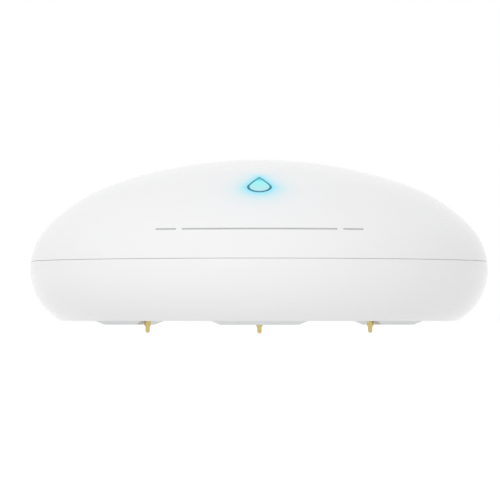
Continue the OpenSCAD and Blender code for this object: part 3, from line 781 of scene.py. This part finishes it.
class LEAKSENSOR_OT_cover(bpy.types.Operator):
    """Builds the domed cover with its skirt, lugs, window opening and switch post"""

    bl_idname = "leak_sensor.cover"
    bl_label = "Cover"

    # Points round each loop, and loops down the outside and the inside
    columns = 384
    outer_rows = 72
    inner_rows = 40
    # Rounding of the skirt's small and lower edges, points of a lug, and how deep the lug sits in the skirt
    small_edge = 0.02
    low_edge = 0.3
    lug_points = 13
    lug_root = 0.4
    post_r = 1.5

    def execute(self, context):
        look = context.scene.leak_sensor
        edge = look.casing.edge / MM
        t = np.linspace(0, 2 * np.pi, self.columns, endpoint=False)
        lens_s = float(length_at(np.array(LENS_R)))
        a = np.linspace(0, np.pi / 2, 5)
        # Opening: the wall stands along the window's axis and its outer rim is a quarter round
        mouth = drop_outline(t, edge)
        skin_z = lens_height(mouth)
        opening = np.stack([drop_outline(t, edge * (1 - math.sin(x))) for x in a[1:]])
        rim_z = skin_z[None] - edge * (1 - np.cos(a[1:]))[:, None]
        bore = drop_outline(t, 0.0)
        wall_share = np.linspace(1, 0, 4, endpoint=False)[::-1, None]
        wall_z = -SEAT_DEPTH + (rim_z[-1] + SEAT_DEPTH) * wall_share[:-1]
        outer = rays(lens_point(mouth, skin_z), lens_s, self.rim_length(edge), 0.0, self.outer_rows)
        # Seat inside, round the opening
        seat = drop_outline(t, SEAT_W)
        seat_top = lens_height(seat, WALL)
        skirt_s = float(length_at(np.array(SKIRT_IN_R), WALL))
        inner = rays(lens_point(seat, seat_top), lens_s, skirt_s, WALL, self.inner_rows)
        bearing = np.arctan2(outer[-1, :, 1], outer[-1, :, 0])
        inner_bearing = np.arctan2(inner[-1, :, 1], inner[-1, :, 0])
        band = self.skirt_rows(bearing, inner_bearing, edge, outer[-1], inner[-1])
        seat_floor = np.full(len(t), -SEAT_DEPTH)
        seat_z = np.stack([(seat_top - SEAT_DEPTH) / 2, seat_floor, seat_floor])
        loops = np.concatenate([
            lens_point(np.broadcast_to(bore, (3, *bore.shape)), wall_z),
            lens_point(opening[::-1], rim_z[::-1]), outer, band, inner[::-1],
            lens_point(np.stack([seat, seat, bore]), seat_z)])
        shells = [loft(loops, ring=True)] + [self.lug(angle) for angle in LUG_ANGLES] + [self.post()]
        make_piece("cover", shells, [lit_abs(look)], "cover", ["top_cover"], sharp=50)
        return {"FINISHED"}

    def rim_length(self, edge):
        """Outline length at which the rounding of the seam edge starts."""
        side = math.asin((SEAM_Z - LIP_DROP + edge - WIDEST_Z) / SIDE_R)
        return CROWN_LEN + SHOULDER_LEN + SIDE_R * (SIDE_ANGLE - side)

    def skirt_rows(self, bearing, inner_bearing, edge, top, inside):
        """Loops round the seam edge and the skirt: a line of radius and height, turned round the axis at
        the bearings of the rays, which pass from the outer ones to the inner ones down the line."""
        start = np.array([np.hypot(top[0, 0], top[0, 1]), top[0, 2]])
        end = np.array([SKIRT_IN_R, inside[0, 2]])
        lip_z, lip_r = SEAM_Z - LIP_DROP, start[0] - LIP_W
        corners = [start, [start[0], lip_z], [lip_r, lip_z], [lip_r, SEAM_Z],
                   [SKIRT_OUT_R, SEAM_Z], [SKIRT_OUT_R, SEAL_HIGH],
                   [SKIRT_OUT_R - SEAL_GROOVE, SEAL_HIGH], [SKIRT_OUT_R - SEAL_GROOVE, SEAL_LOW],
                   [SKIRT_OUT_R, SEAL_LOW], [SKIRT_OUT_R, SKIRT_Z], [SKIRT_IN_R, SKIRT_Z], end]
        edges = [edge * 0.98] + [self.small_edge] * 7 + [self.low_edge] * 2
        line = rounded(corners, edges, 4)[1:-1]
        share = np.linspace(0, 1, len(line))[:, None]
        spread = np.angle(np.exp(1j * (inner_bearing - bearing)))
        round_it = bearing + spread * share
        return around(line[:, :1], round_it, line[:, 1:])

    def lug(self, angle):
        """A lug on the skirt: a rectangle of radius and height carried round the axis, its top rising
        with the slope of the lock."""
        x = np.linspace(-LUG_HALF, LUG_HALF, self.lug_points)
        turn = angle + x / LUG_OUT_R
        top = SKIRT_Z + LUG_H + LUG_SLOPE * x
        root_r = SKIRT_OUT_R - self.lug_root
        r = np.array([root_r, LUG_OUT_R, LUG_OUT_R, root_r])
        z = np.stack([np.full(len(x), SKIRT_Z)] * 2 + [top] * 2, axis=1)
        return loft(around(r, turn[:, None], z))

    def post(self):
        """The post over the cover switch, turned round its own axis, with its top inside the shell."""
        at = middle("switch_button")[:2]
        low = box_mm("switch_button")[1][2] + 0.1
        high = float(casing_at(length_at(np.hypot(*at), WALL / 2), WALL / 2)[1]) - 0.5
        return drum(at, self.post_r, low, high, [0.25, 0.05], 40)


class LEAKSENSOR_OT_window(bpy.types.Operator):
    """Builds the lit drop window with its flange"""

    bl_idname = "leak_sensor.window"
    bl_label = "Drop window"

    # Points round each loop, rounding of the face's edge, and how small its inmost loop is
    columns = 256
    edge = 0.1
    inmost = 0.004

    def execute(self, context):
        look = context.scene.leak_sensor
        t = np.linspace(0, 2 * np.pi, self.columns, endpoint=False)
        body = drop_outline(t, -LENS_PLAY)
        crown = drop_outline(t, -LENS_PLAY - self.edge)
        flange = drop_outline(t, FLANGE_W)
        share = np.linspace(self.inmost, 1, 24)[:, None, None]
        face = crown * share
        face_z = lens_height(face) + look.window.bulge / MM * (1 - share[..., 0] ** 2)
        a = np.linspace(0, np.pi / 2, 5)[1:]
        rim = crown + (body - crown) * np.sin(a)[:, None, None]
        rim_z = lens_height(crown) - self.edge * (1 - np.cos(a))[:, None]
        under = -SEAT_DEPTH - FLANGE_GAP
        flat = np.stack([body, flange, flange, flange * self.inmost])
        levels = np.array([under, under, under - FLANGE_T, under - FLANGE_T])
        flat_z = np.repeat(levels[:, None], len(t), axis=1)
        flat_rows = np.concatenate([face, rim, flat])
        loops = lens_point(flat_rows, np.concatenate([face_z, rim_z, flat_z]))
        tip = body[:, 1].max()
        rise = (flat_rows[..., 1] + tip) / (2 * tip)
        uv = np.clip(np.stack([self.depth(flat_rows), rise], axis=-1), 0, 1).reshape(-1, 2)
        make_piece("drop_window", [loft(loops)], [lit_window(look)], "cover", ["drop_lens"],
                   sharp=50, uv=uv)
        return {"FINISHED"}

    def depth(self, flat):
        """Distance inside the drop's edge, in millimetres: to its round end, or to the tangents beside
        its point for what lies past where they touch."""
        r = DROP_R - LENS_PLAY
        x, y = np.abs(flat[..., 0]), flat[..., 1] - DROP_SHIFT
        to_round = r - np.hypot(x, y)
        to_line = r - x * math.cos(DROP_ANGLE) - y * math.sin(DROP_ANGLE)
        return np.where(np.arctan2(y, x) > DROP_ANGLE, to_line, to_round)


class LEAKSENSOR_OT_front_print(bpy.types.Operator):
    """Builds the plain silver foil lines on the front of the cover"""

    bl_idname = "leak_sensor.front_print"
    bl_label = "Foil lines"

    # Height of the lines on the front, and their ends left and right of the middle
    line_z = 15.65
    spans = ((-15.55, -12.5), (-11.6, 11.6), (12.5, 15.55))
    # Height over the plastic, depth in it, and points along each millimetre
    thickness = 0.02
    sunk = 0.01
    points_a_mm = 3

    def execute(self, context):
        look = context.scene.leak_sensor
        half = look.print.width / MM / 2
        angle = math.asin((self.line_z - WIDEST_Z) / SIDE_R)
        s = CROWN_LEN + SHOULDER_LEN + SIDE_R * (SIDE_ANGLE - angle)
        shells = [self.line(s, half, *span) for span in self.spans]
        make_piece("front_lines", shells, [foil(look)], "cover")
        return {"FINISHED"}

    def line(self, s, half, left, right):
        """A thin strip on the casing: a flat rectangle of outline length and thickness, carried round
        the axis from one end to the other."""
        across = np.array([s - half, s + half, s + half, s - half])
        inset = np.array([self.sunk, self.sunk, -self.thickness, -self.thickness])
        r, z = casing_at(across, inset)
        x = np.linspace(left, right, max(8, int((right - left) * self.points_a_mm)))
        turn = np.arcsin(x / r.mean()) - np.pi / 2
        return loft(around(r, turn[:, None], z))


class LEAKSENSOR_OT_base(bpy.types.Operator):
    """Dresses the base shell, the seal ring and the pads"""

    bl_idname = "leak_sensor.base"
    bl_label = "Base and pads"

    def execute(self, context):
        look = context.scene.leak_sensor
        dress(moulded_abs(look), "base_shell")
        dress(silicone(look), "seam_seal", "barrel_seals")
        dress(pad_rubber(look), *[f"foot_{side}" for side in SIDES])
        return {"FINISHED"}


class LEAKSENSOR_OT_probes(bpy.types.Operator):
    """Dresses the probe pins and barrels, and winds their springs"""

    bl_idname = "leak_sensor.probes"
    bl_label = "Probes"

    # Share of the wire in each closed end turn, points a turn, and the gap over the spring
    end_share = 0.09
    turn_points = 48
    top_gap = 0.02

    def execute(self, context):
        look = context.scene.leak_sensor
        gold = gold_plate(look)
        steel = spring_steel(look)
        for side in SIDES:
            dress(gold, f"pin_{side}", f"barrel_{side}")
            low, high = box_mm(f"spring_{side}")
            at = (low + high) / 2
            spring = make_piece(f"coil_{side}", [self.coil(low, high, at)], [steel], "base",
                                [f"spring_{side}"])
            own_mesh(spring)
        return {"FINISHED"}

    def coil(self, low, high, at):
        """A helix of equal turns with a closed turn at each end: the height rises with the turn angle,
        slowly at the two ends."""
        radius = (high - low)[0] / 2 - WIRE_R
        share = np.linspace(0, 1, self.turn_points * SPRING_TURNS + 1)
        turn = 2 * np.pi * SPRING_TURNS * share
        end = self.end_share
        rise = np.clip((share - end) / (1 - 2 * end), 0, 1) * (high[2] - low[2] - 4 * WIRE_R)
        closed = np.clip(share / end, 0, 1) + np.clip((share - 1 + end) / end, 0, 1)
        height = low[2] + rise + WIRE_R * (1 + closed)
        return tube(around(radius, turn, height, at), WIRE_R, 8)


class LEAKSENSOR_OT_board(bpy.types.Operator):
    """Dresses the circuit board and its screws, and lays the tracks and lands"""

    bl_idname = "leak_sensor.board"
    bl_label = "Board and tracks"

    # Corners of each track, right of the casing's axis and behind it
    routes = (
        ((-2.4, -16.2), (1.2, -16.2), (3.0, -14.4), (4.5, -14.4)),
        ((-2.4, -17.4), (2.0, -17.4), (3.4, -16.0), (4.5, -16.0)),
        ((-2.4, -18.6), (-1.6, -18.6), (-0.9, -19.3)),
        ((7.2, -16.0), (7.2, -18.4), (4.2, -21.4), (4.2, -22.7)),
        ((9.9, -16.0), (9.9, -18.6), (6.9, -21.6), (6.9, -22.7)),
        ((9.6, -22.7), (9.6, -21.6), (11.4, -19.8)),
        ((9.9, -14.4), (11.4, -14.4), (13.0, -16.0)),
        ((-8.0, -22.4), (-8.0, -24.3)),
        ((-5.3, -22.4), (-5.3, -24.3)),
        ((-2.6, -22.4), (-2.6, -24.3), (-1.9, -25.0), (-1.3, -25.0)),
        ((1.3, -25.0), (3.6, -25.0), (4.2, -24.4)),
        ((-10.4, -17.6), (-9.6, -17.6)),
        ((-17.2, -16.0), (-19.0, -14.2), (-20.6, -14.2), (-21.9, -12.9), (-21.9, 7.6), (-19.2, 10.3)),
        ((-17.2, -17.4), (-19.4, -15.2), (-20.9, -15.2), (-22.9, -13.2), (-22.9, 0.5), (-24.6, 2.2)),
        ((-24.6, 3.8), (-25.6, 4.8), (-25.6, 8.2), (-16.6, 17.2)),
        ((17.2, -15.4), (18.5, -14.1), (20.7, -14.1), (21.9, -12.9), (21.9, 7.6), (19.2, 10.3)),
        ((18.4, -16.4), (19.6, -15.2), (20.9, -15.2), (22.9, -13.2), (22.9, 0.5), (24.6, 2.2)),
        ((24.6, 3.8), (24.6, 5.2), (26.0, 6.6)),
        ((26.0, 9.4), (26.0, 11.4), (16.2, 21.2), (15.2, 21.2)),
        ((-4.2, 9.5), (-4.2, 12.6), (-6.6, 15.0)),
        ((-1.5, 9.5), (-1.5, 14.8), (0.6, 16.9), (3.0, 16.9)),
        ((1.2, 9.5), (1.2, 14.0), (2.8, 15.6)),
        ((3.9, 9.5), (5.6, 11.2), (13.1, 11.2), (16.6, 11.2)),
        ((2.9, 24.0), (-1.4, 24.0), (-4.1, 26.7), (-4.8, 28.4)),
    )
    # Tracks and lands: width, heights, how deep they sit, and inner and outer radius of the ring lands
    track_w = 0.4
    track_h = 0.04
    land_h = 0.055
    sunk = 0.01
    probe_land = (1.28, 2.0)
    screw_land = (1.5, 2.5)
    point_r = 0.6
    test_points = ((6.5, 11.2), (8.7, 11.2), (10.9, 11.2), (13.1, 11.2), (-26.4, -4.0), (-26.4, -6.2),
                   (26.4, -6.2))

    def execute(self, context):
        look = context.scene.leak_sensor
        dress(solder_mask(look), "circuit_board", "radio_board")
        dress(zinc_steel(look), "board_screws")
        low = BOARD_TOP - self.sunk
        tracks = [ribbon(route, self.track_w, low, BOARD_TOP + self.track_h) for route in self.routes]
        make_piece("board_tracks", tracks, [covered_copper(look)], "base")
        top = BOARD_TOP + self.land_h
        probes = [middle(f"barrel_{side}")[:2] for side in SIDES]
        rings = [annulus(at, *self.probe_land, low, top) for at in probes]
        rings += [annulus(at, *self.screw_land, low, top) for at in SCREWS]
        rings += [drum(at, self.point_r, low, top, [0.005, 0.03], 28) for at in self.test_points]
        make_piece("board_lands", rings, [flash_gold(look)], "base")
        return {"FINISHED"}


class LEAKSENSOR_OT_chips(bpy.types.Operator):
    """Builds the control chip, the small ceramic parts and the temperature sensor"""

    bl_idname = "leak_sensor.chips"
    bl_label = "Chips"

    # Rows of small parts: their places along the row, its depth, and whether they stand across it
    rows = (
        ((4.5, 7.2, 9.9), -15.2, True),
        ((4.2, 6.9, 9.6), -23.5, True),
        ((-8.75, -6.05, -3.35), -24.3, False),
        ((-5.0, -2.3, 0.4, 3.1), 9.45, False),
        ((-24.6, 24.6), 3.0, True),
    )
    # A small part: its size, each cap's share of the length, and how far the ceramic lies inside the caps
    part_size = np.array([2.0, 1.2, 0.8])
    cap_share = 0.24
    end_inset = 0.08
    side_inset = 0.05
    # Its lands: reach past the ends, spread past the sides, depth in the board and height over it
    land_reach = 0.35
    land_spread = 0.12
    land_sunk = 0.01
    land_h = 0.06
    # The control chip: its leads, the height of its underside, and the place and size of its round mark
    leads_a_side = 8
    lead_pitch = 0.78
    lead_root = 0.1
    lead_size = (0.75, 0.5, 0.32)
    stand = 0.08
    mark_at = (1.0, 6.0)
    mark_r = 0.45

    def execute(self, context):
        look = context.scene.leak_sensor
        epoxy, tin = chip_epoxy(look), tinned(look)
        shells = []
        for places, y, across in self.rows:
            size = self.part_size[[1, 0, 2]] if across else self.part_size
            for x in places:
                shells += self.two_ended(np.array([x, y]), size, 1 if across else 0)
        make_piece("small_chips", shells, [ceramic(look), tin], "base", ["small_parts"])
        low, high = box_mm("temperature_sensor")
        sensor = self.two_ended((low + high)[:2] / 2, high - low, 1)
        make_piece("thermistor", sensor, [epoxy, tin], "base", ["temperature_sensor"])
        low, high = box_mm("control_chip")
        mark = drum(low[:2] + self.mark_at, self.mark_r, high[2] - 0.05, high[2] + 0.006, [0.01, 0.005], 28)
        body = [block(low + [0, 0, self.stand], high, 0.12, 0.25), (*mark, 2)]
        body += self.chip_leads((low + high)[:2] / 2, (high - low)[0] / 2)
        make_piece("controller", body, [epoxy, tin, black_moulding(look)], "base",
                   ["control_chip"])
        return {"FINISHED"}

    def two_ended(self, at, size, axis):
        """A ceramic block with a slightly larger tinned cap at each end, and the two solder lands."""
        low = np.array([*(at - size[:2] / 2), BOARD_TOP])
        high = low + size
        inner = np.where(np.arange(3) == axis, self.end_inset, self.side_inset)
        shells = [(*block(low + inner * [1, 1, 0], high - inner, 0.04), 0)]
        cap = size[axis] * self.cap_share
        along = np.eye(3)[axis]
        step = along * (size[axis] - cap)
        for near, far in ((low, high - step), (low + step, high)):
            shells.append((*block(near, far, 0.08), 1))
            outward = np.sign((near + far)[axis] / 2 - at[axis]) * along
            spread = self.land_spread * (1 - along) * [1, 1, 0]
            land_low = near - spread + np.minimum(outward, 0) * self.land_reach
            land_high = far + spread + np.maximum(outward, 0) * self.land_reach
            land_low[2] = BOARD_TOP - self.land_sunk
            land_high[2] = BOARD_TOP + self.land_h
            shells.append((*block(land_low, land_high, 0.03), 1))
        return shells

    def chip_leads(self, centre, half):
        """Rows of bent leads on the four sides of the chip."""
        steps = (np.arange(self.leads_a_side) - (self.leads_a_side - 1) / 2) * self.lead_pitch
        return [(*lead(centre, turn, (half - self.lead_root, step), *self.lead_size), 1)
                for turn in np.pi / 2 * np.arange(4) for step in steps]


class LEAKSENSOR_OT_fittings(bpy.types.Operator):
    """Builds the capacitor, sounder, radio, status light and cover switch, and dresses the antenna"""

    bl_idname = "leak_sensor.fittings"
    bl_label = "Fittings"

    switch_turn = math.radians(-52)

    def execute(self, context):
        look = context.scene.leak_sensor
        tin, black = tinned(look), black_moulding(look)
        make_piece("can_capacitor", self.can(), [drawn_aluminium(look), black, tin], "base",
                   ["capacitor"])
        make_piece("sounder", self.sounder(), [black], "base", ["buzzer"])
        make_piece("shield_can", self.shield(), [nickel_sheet(look)], "base",
                   ["radio_shield"])
        make_piece("radio_lands", self.radio_lands(), [flash_gold(look)], "base")
        dress(nickel_sheet(look), "antenna")
        dress(black, "cover_switch")
        make_piece("switch_metal", self.switch_metal(), [tin], "base")
        low, high = box_mm("switch_button")
        r = (high - low)[0] / 2
        plunger = drum((low + high)[:2] / 2, r, low[2], high[2], [0.1, 0.35], 48)
        make_piece("switch_plunger", [plunger], [white_nylon(look)], "button",
                   ["switch_button"])
        dress(white_nylon(look), "status_light")
        low, high = box_mm("status_light")
        top = high[2]
        line = rounded([[AXIS_R, top - 0.29], [1.19, top - 0.29], [1.15, top - 0.12], [0.7, top - 0.01],
                        [AXIS_R, top + 0.02]], [0.02, 0.1, 0.3])
        dome = lathe(line, (low + high)[:2] / 2, 40)
        make_piece("light_dome", [dome], [lit_silicone(look)], "base")
        return {"FINISHED"}

    def can(self):
        """A drawn can with a crimped neck on a black foot, with a dark printed segment on its top and a
        tinned tab on each side of the foot."""
        low, high = box_mm("capacitor")
        at = (low + high)[:2] / 2
        r = (high - low)[0] / 2 - 0.1
        foot = low[2] + 1.2
        top = high[2]
        line = rounded([[AXIS_R, foot - 0.2], [r, foot - 0.2], [r, foot + 0.35], [r - 0.28, foot + 0.65],
                        [r, foot + 0.95], [r, top], [r - 0.75, top], [r - 0.85, top - 0.06],
                        [AXIS_R, top - 0.06]], [0.05, 0.15, 0.15, 0.15, 0.45, 0.1, 0.04])
        t = np.linspace(-1.05, 1.05, 24)
        arc = at + (r - 0.9) * np.stack([np.cos(t + np.pi), np.sin(t + np.pi)], axis=1)
        heights = np.array([top - 0.08, top - 0.045])
        segment = np.concatenate([np.broadcast_to(arc, (2, len(t), 2)),
                                  np.broadcast_to(heights[:, None, None], (2, len(t), 1))], axis=-1)
        tabs = [(*block([x - 0.7, at[1] - 0.45, low[2]], [x + 0.7, at[1] + 0.45, low[2] + 0.14], 0.05), 2)
                for x in (low[0], high[0])]
        black_foot = block(low, [*high[:2], foot], 0.12, 0.8)
        return [lathe(line, at, 72), (*black_foot, 1), (*loft(segment), 1), *tabs]

    def sounder(self):
        """A round sounder: rounded rim, a shallow dished top and a chamfered sound hole."""
        low, high = box_mm("buzzer")
        r, top = (high - low)[0] / 2, high[2]
        line = rounded([[AXIS_R, low[2]], [r, low[2]], [r, low[2] + 0.9], [r - 0.15, low[2] + 1.05],
                        [r - 0.15, top], [r - 1.1, top], [r - 1.3, top - 0.18], [1.7, top - 0.18],
                        [1.2, top - 0.45], [1.2, top - 1.5], [AXIS_R, top - 1.5]],
                       [0.1, 0.06, 0.06, 0.45, 0.1, 0.1, 0.1, 0.1, 0.05])
        return [lathe(line, (low + high)[:2] / 2, 96)]

    def shield(self):
        """A pressed lid over a soldered frame."""
        low, high = box_mm("radio_shield")
        inset = np.array([0.12, 0.12, 0])
        return [block(low, [*high[:2], low[2] + 0.7], 0.1, 0.5),
                block(low + inset + [0, 0, 0.5], high - inset, 0.28, 0.55)]

    def radio_lands(self):
        """Half lands down the two sides of the radio board, from its underside over its edge."""
        low, high = box_mm("radio_board")
        rows = np.linspace(low[1] + 1.0, high[1] - 1.0, 8)
        sides = ((low[0] - 0.05, low[0] + 0.75), (high[0] - 0.75, high[0] + 0.05))
        return [block([left, y - 0.36, low[2] - 0.005], [right, y + 0.36, high[2] + 0.04], 0.03, 0.1)
                for left, right in sides for y in rows]

    def switch_metal(self):
        """A pressed ring round the button, four rivet heads and four legs."""
        at = middle("cover_switch")[:2]
        top = box_mm("cover_switch")[1][2]
        turned = np.array([[math.cos(self.switch_turn), math.sin(self.switch_turn)],
                           [-math.sin(self.switch_turn), math.cos(self.switch_turn)]])
        corners = np.array([[2.4, 2.4], [-2.4, 2.4], [-2.4, -2.4], [2.4, -2.4]]) @ turned + at
        head = rounded([[AXIS_R, top - 0.05], [0.42, top - 0.05], [0.42, top + 0.12], [AXIS_R, top + 0.16]],
                       [0.02, 0.1])
        shells = [annulus(at, 1.78, 2.55, top - 0.05, top + 0.1)]
        shells += [lathe(head, corner, 24) for corner in corners]
        for turn in (self.switch_turn, self.switch_turn + np.pi):
            shells += [lead(at, turn, (3.05, side), 0.9, 1.1, 0.7) for side in (-2.1, 2.1)]
        return shells


class LEAKSENSOR_OT_battery(bpy.types.Operator):
    """Builds the sleeved battery, and dresses its holder and contacts"""

    bl_idname = "leak_sensor.battery"
    bl_label = "Battery"

    # Length and radius of the raised end, and thickness of the sleeve
    nub_len = 1.1
    nub_r = 3.2
    sleeve = 0.2

    def execute(self, context):
        look = context.scene.leak_sensor
        dress(black_moulding(look), "battery_holder")
        dress(nickel_sheet(look), "contact_plus", "contact_minus")
        low, high = box_mm("battery")
        centre = (low + high) / 2
        r = (high - low)[1] / 2
        end = (high - low)[0]
        long = end - self.nub_len
        t = self.sleeve
        sleeve = rounded([[6.9, t], [6.9, 0.0], [r - 0.1, 0.0], [r, 0.2], [r, long - 0.1], [r - 0.9, long],
                          [6.6, long], [6.6, long - t], [r - 1.0, long - t], [r - t, long - 1.2], [r - t, t],
                          [6.9, t]], [0.05, 0.5, 0.02, 0.7, 0.3, 0.05, 0.05, 0.2, 0.3, 0.05])
        can = rounded([[AXIS_R, 0.08], [5.6, 0.08], [5.8, 0.2], [r - 0.25, 0.2], [r - 0.25, long - 1.3],
                       [r - 1.1, long - 0.3], [AXIS_R, long - 0.3]], [0.05, 0.05, 0.4, 0.3, 0.2])
        collar = [[self.nub_r + 0.25, long - 0.32], [6.7, long - 0.32], [6.7, long - 0.22],
                  [self.nub_r + 0.25, long - 0.22]]
        nub = drum((0.0, 0.0), self.nub_r, long - 0.4, end, [0.05, 0.35], 64)
        shells = [(*lathe(sleeve[:-1], spin=96, ring=True), 0), (*lathe(can, spin=96), 1),
                  (*lathe(collar, spin=72, ring=True), 2), (*nub, 1)]
        shells = [(self.lay(points, low[0], centre), faces, which) for points, faces, which in shells]
        finishes = [shrink_sleeve(look), nickel_sheet(look), white_nylon(look)]
        make_piece("battery_cell", shells, finishes, "base", ["battery"])
        return {"FINISHED"}

    def lay(self, points, start, centre):
        """Lays a shape turned round the z axis down along x, from the battery's left end."""
        return np.stack([start + points[:, 2], centre[1] + points[:, 0], centre[2] + points[:, 1]], axis=1)


class LEAKSENSOR_OT_stage(bpy.types.Operator):
    """Sets the floor, the light and the camera"""

    bl_idname = "leak_sensor.stage"
    bl_label = "Stage"

    # Where the camera stands and looks, beside the axis and over the probe tips, in millimetres
    side_step = -1.43
    eye_z = 1.9
    aim_z = 13.09
    # Place and size of each lamp, and the point that both face, in metres
    key_place = (-0.55, -0.6, 0.9)
    key_size = 1.1
    front_place = (-0.22, -0.95, 0.2)
    front_size = 0.4
    lit_point = (0, 0, 0.012)
    # Floor: half its side, the middle and reach of its brighter patch in metres, the patch's gain, and
    # how much of its white is lit and how much glows
    floor_half = 6.0
    patch_at = (-0.01, -0.09, 0.0)
    patch_reach = 0.2
    patch_gain = 1.25
    floor_lit = 0.4
    floor_glow = 0.74

    def execute(self, context):
        scene = context.scene
        stage = scene.leak_sensor.stage
        scene.view_settings.view_transform = "Standard"
        camera = bpy.data.objects.new("camera", bpy.data.cameras.new("camera"))
        scene.collection.objects.link(camera)
        camera.data.sensor_width = 36
        camera.data.lens = stage.focal
        camera.data.clip_start, camera.data.clip_end = 0.01, 20
        camera.location = Vector((self.side_step * MM, -stage.distance, self.eye_z * MM))
        self.face(camera, (self.side_step * MM, 0, self.aim_z * MM))
        scene.camera = camera
        self.lamp("key", self.key_place, self.key_size, stage.key)
        self.lamp("front", self.front_place, self.front_size, stage.front)
        self.room(scene, stage)
        self.floor(stage)
        return {"FINISHED"}

    def face(self, thing, point):
        """Turns a camera or lamp to face a point."""
        way = Vector(point) - thing.location
        thing.rotation_euler = way.to_track_quat("-Z", "Y").to_euler()

    def lamp(self, name, place, size, power):
        """A square soft lamp that faces the casing and shows in no reflection."""
        light = bpy.data.lights.new(name, "AREA")
        light.energy, light.size = power, size
        lamp = bpy.data.objects.new(name, light)
        lamp.visible_glossy = False
        bpy.context.scene.collection.objects.link(lamp)
        lamp.location = place
        self.face(lamp, self.lit_point)

    def seen(self, tree):
        """One where a ray shows the surroundings by eye, mirror or glass, and nought for soft light."""
        path = add_node(tree, "ShaderNodeLightPath").outputs
        first = maths(tree, "MAXIMUM", path["Is Camera Ray"], path["Is Glossy Ray"])
        return maths(tree, "MAXIMUM", first, path["Is Transmission Ray"])

    def either(self, tree, share, first, second):
        """A shader that is the first where the share is nought, and the second where it is one."""
        pair = {0: share, 1: first.outputs[0], 2: second.outputs[0]}
        return add_node(tree, "ShaderNodeMixShader", pair)

    def room(self, scene, stage):
        """White to the eye and in reflections, and an even grey as a light."""
        scene.world = bpy.data.worlds.new("room")
        tree = empty_tree(scene.world)
        even = add_node(tree, "ShaderNodeBackground", {"Color": WHITE, "Strength": stage.fill})
        white = add_node(tree, "ShaderNodeBackground", {"Color": WHITE, "Strength": 1.0})
        mix = self.either(tree, self.seen(tree), even, white)
        add_node(tree, "ShaderNodeOutputWorld", {"Surface": mix.outputs[0]})

    def floor(self, stage):
        """A wide pale floor that throws a light up, brightest before the casing. To the eye it is white,
        and part of that white is lit, so that it keeps the shadow. From below it is clear."""
        mesh = bpy.data.meshes.new("floor")
        corners = self.floor_half * np.array([[-1, -1, 0], [1, -1, 0], [1, 1, 0], [-1, 1, 0]])
        mesh.from_pydata(corners, [], [(0, 1, 2, 3)])
        floor = bpy.data.objects.new("floor", mesh)
        bpy.context.scene.collection.objects.link(floor)
        material = bpy.data.materials.new("pale floor")
        tree = empty_tree(material)
        place = add_node(tree, "ShaderNodeTexCoord").outputs["Object"]
        away = add_node(tree, "ShaderNodeVectorMath", {0: place, 1: self.patch_at}, operation="DISTANCE")
        bright = stage.bounce * self.patch_gain
        glow = ramp(tree, away.outputs["Value"], 0.0, self.patch_reach, bright, stage.bounce)
        thrown = add_node(tree, "ShaderNodeEmission", {"Strength": glow})
        dim = add_node(tree, "ShaderNodeBsdfDiffuse", {"Color": shade(WHITE, self.floor_lit)})
        white = add_node(tree, "ShaderNodeEmission", {"Strength": self.floor_glow})
        shown = add_node(tree, "ShaderNodeAddShader", {0: dim.outputs[0], 1: white.outputs[0]})
        above = self.either(tree, self.seen(tree), thrown, shown)
        below = add_node(tree, "ShaderNodeNewGeometry").outputs["Backfacing"]
        clear = add_node(tree, "ShaderNodeBsdfTransparent")
        surface = self.either(tree, below, above, clear)
        add_node(tree, "ShaderNodeOutputMaterial", {"Surface": surface.outputs[0]})
        mesh.materials.append(material)


class LEAKSENSOR_PT_panel(bpy.types.Panel):
    """Lists the operators and settings of the leak sensor"""

    bl_label = "Leak sensor"
    bl_idname = "LEAKSENSOR_PT_panel"
    bl_space_type = "VIEW_3D"
    bl_region_type = "UI"
    bl_category = "Leak sensor"

    def draw(self, context):
        look = context.scene.leak_sensor
        for operator in OPERATORS:
            self.layout.operator(operator.bl_idname)
        for group in (look.casing, look.window, look.print, look.metal, look.board, look.stage):
            box = self.layout.box()
            for name in group.__annotations__:
                box.prop(group, name)


SETTINGS = (CasingSettings, WindowSettings, PrintSettings, MetalSettings, BoardSettings, StageSettings,
            SensorSettings)
OPERATORS = (LEAKSENSOR_OT_stage, LEAKSENSOR_OT_cover, LEAKSENSOR_OT_window, LEAKSENSOR_OT_front_print,
             LEAKSENSOR_OT_base, LEAKSENSOR_OT_probes, LEAKSENSOR_OT_board, LEAKSENSOR_OT_chips,
             LEAKSENSOR_OT_fittings, LEAKSENSOR_OT_battery)


def register():
    for kind in (*SETTINGS, *OPERATORS, LEAKSENSOR_PT_panel):
        bpy.utils.register_class(kind)
    bpy.types.Scene.leak_sensor = bpy.props.PointerProperty(type=SensorSettings)


def unregister():
    del bpy.types.Scene.leak_sensor
    for kind in reversed((*SETTINGS, *OPERATORS, LEAKSENSOR_PT_panel)):
        bpy.utils.unregister_class(kind)


def main():
    """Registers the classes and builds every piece."""
    register()
    for operator in OPERATORS:
        group, name = operator.bl_idname.split(".")
        getattr(getattr(bpy.ops, group), name)()


if __name__ == "__main__":
    main()
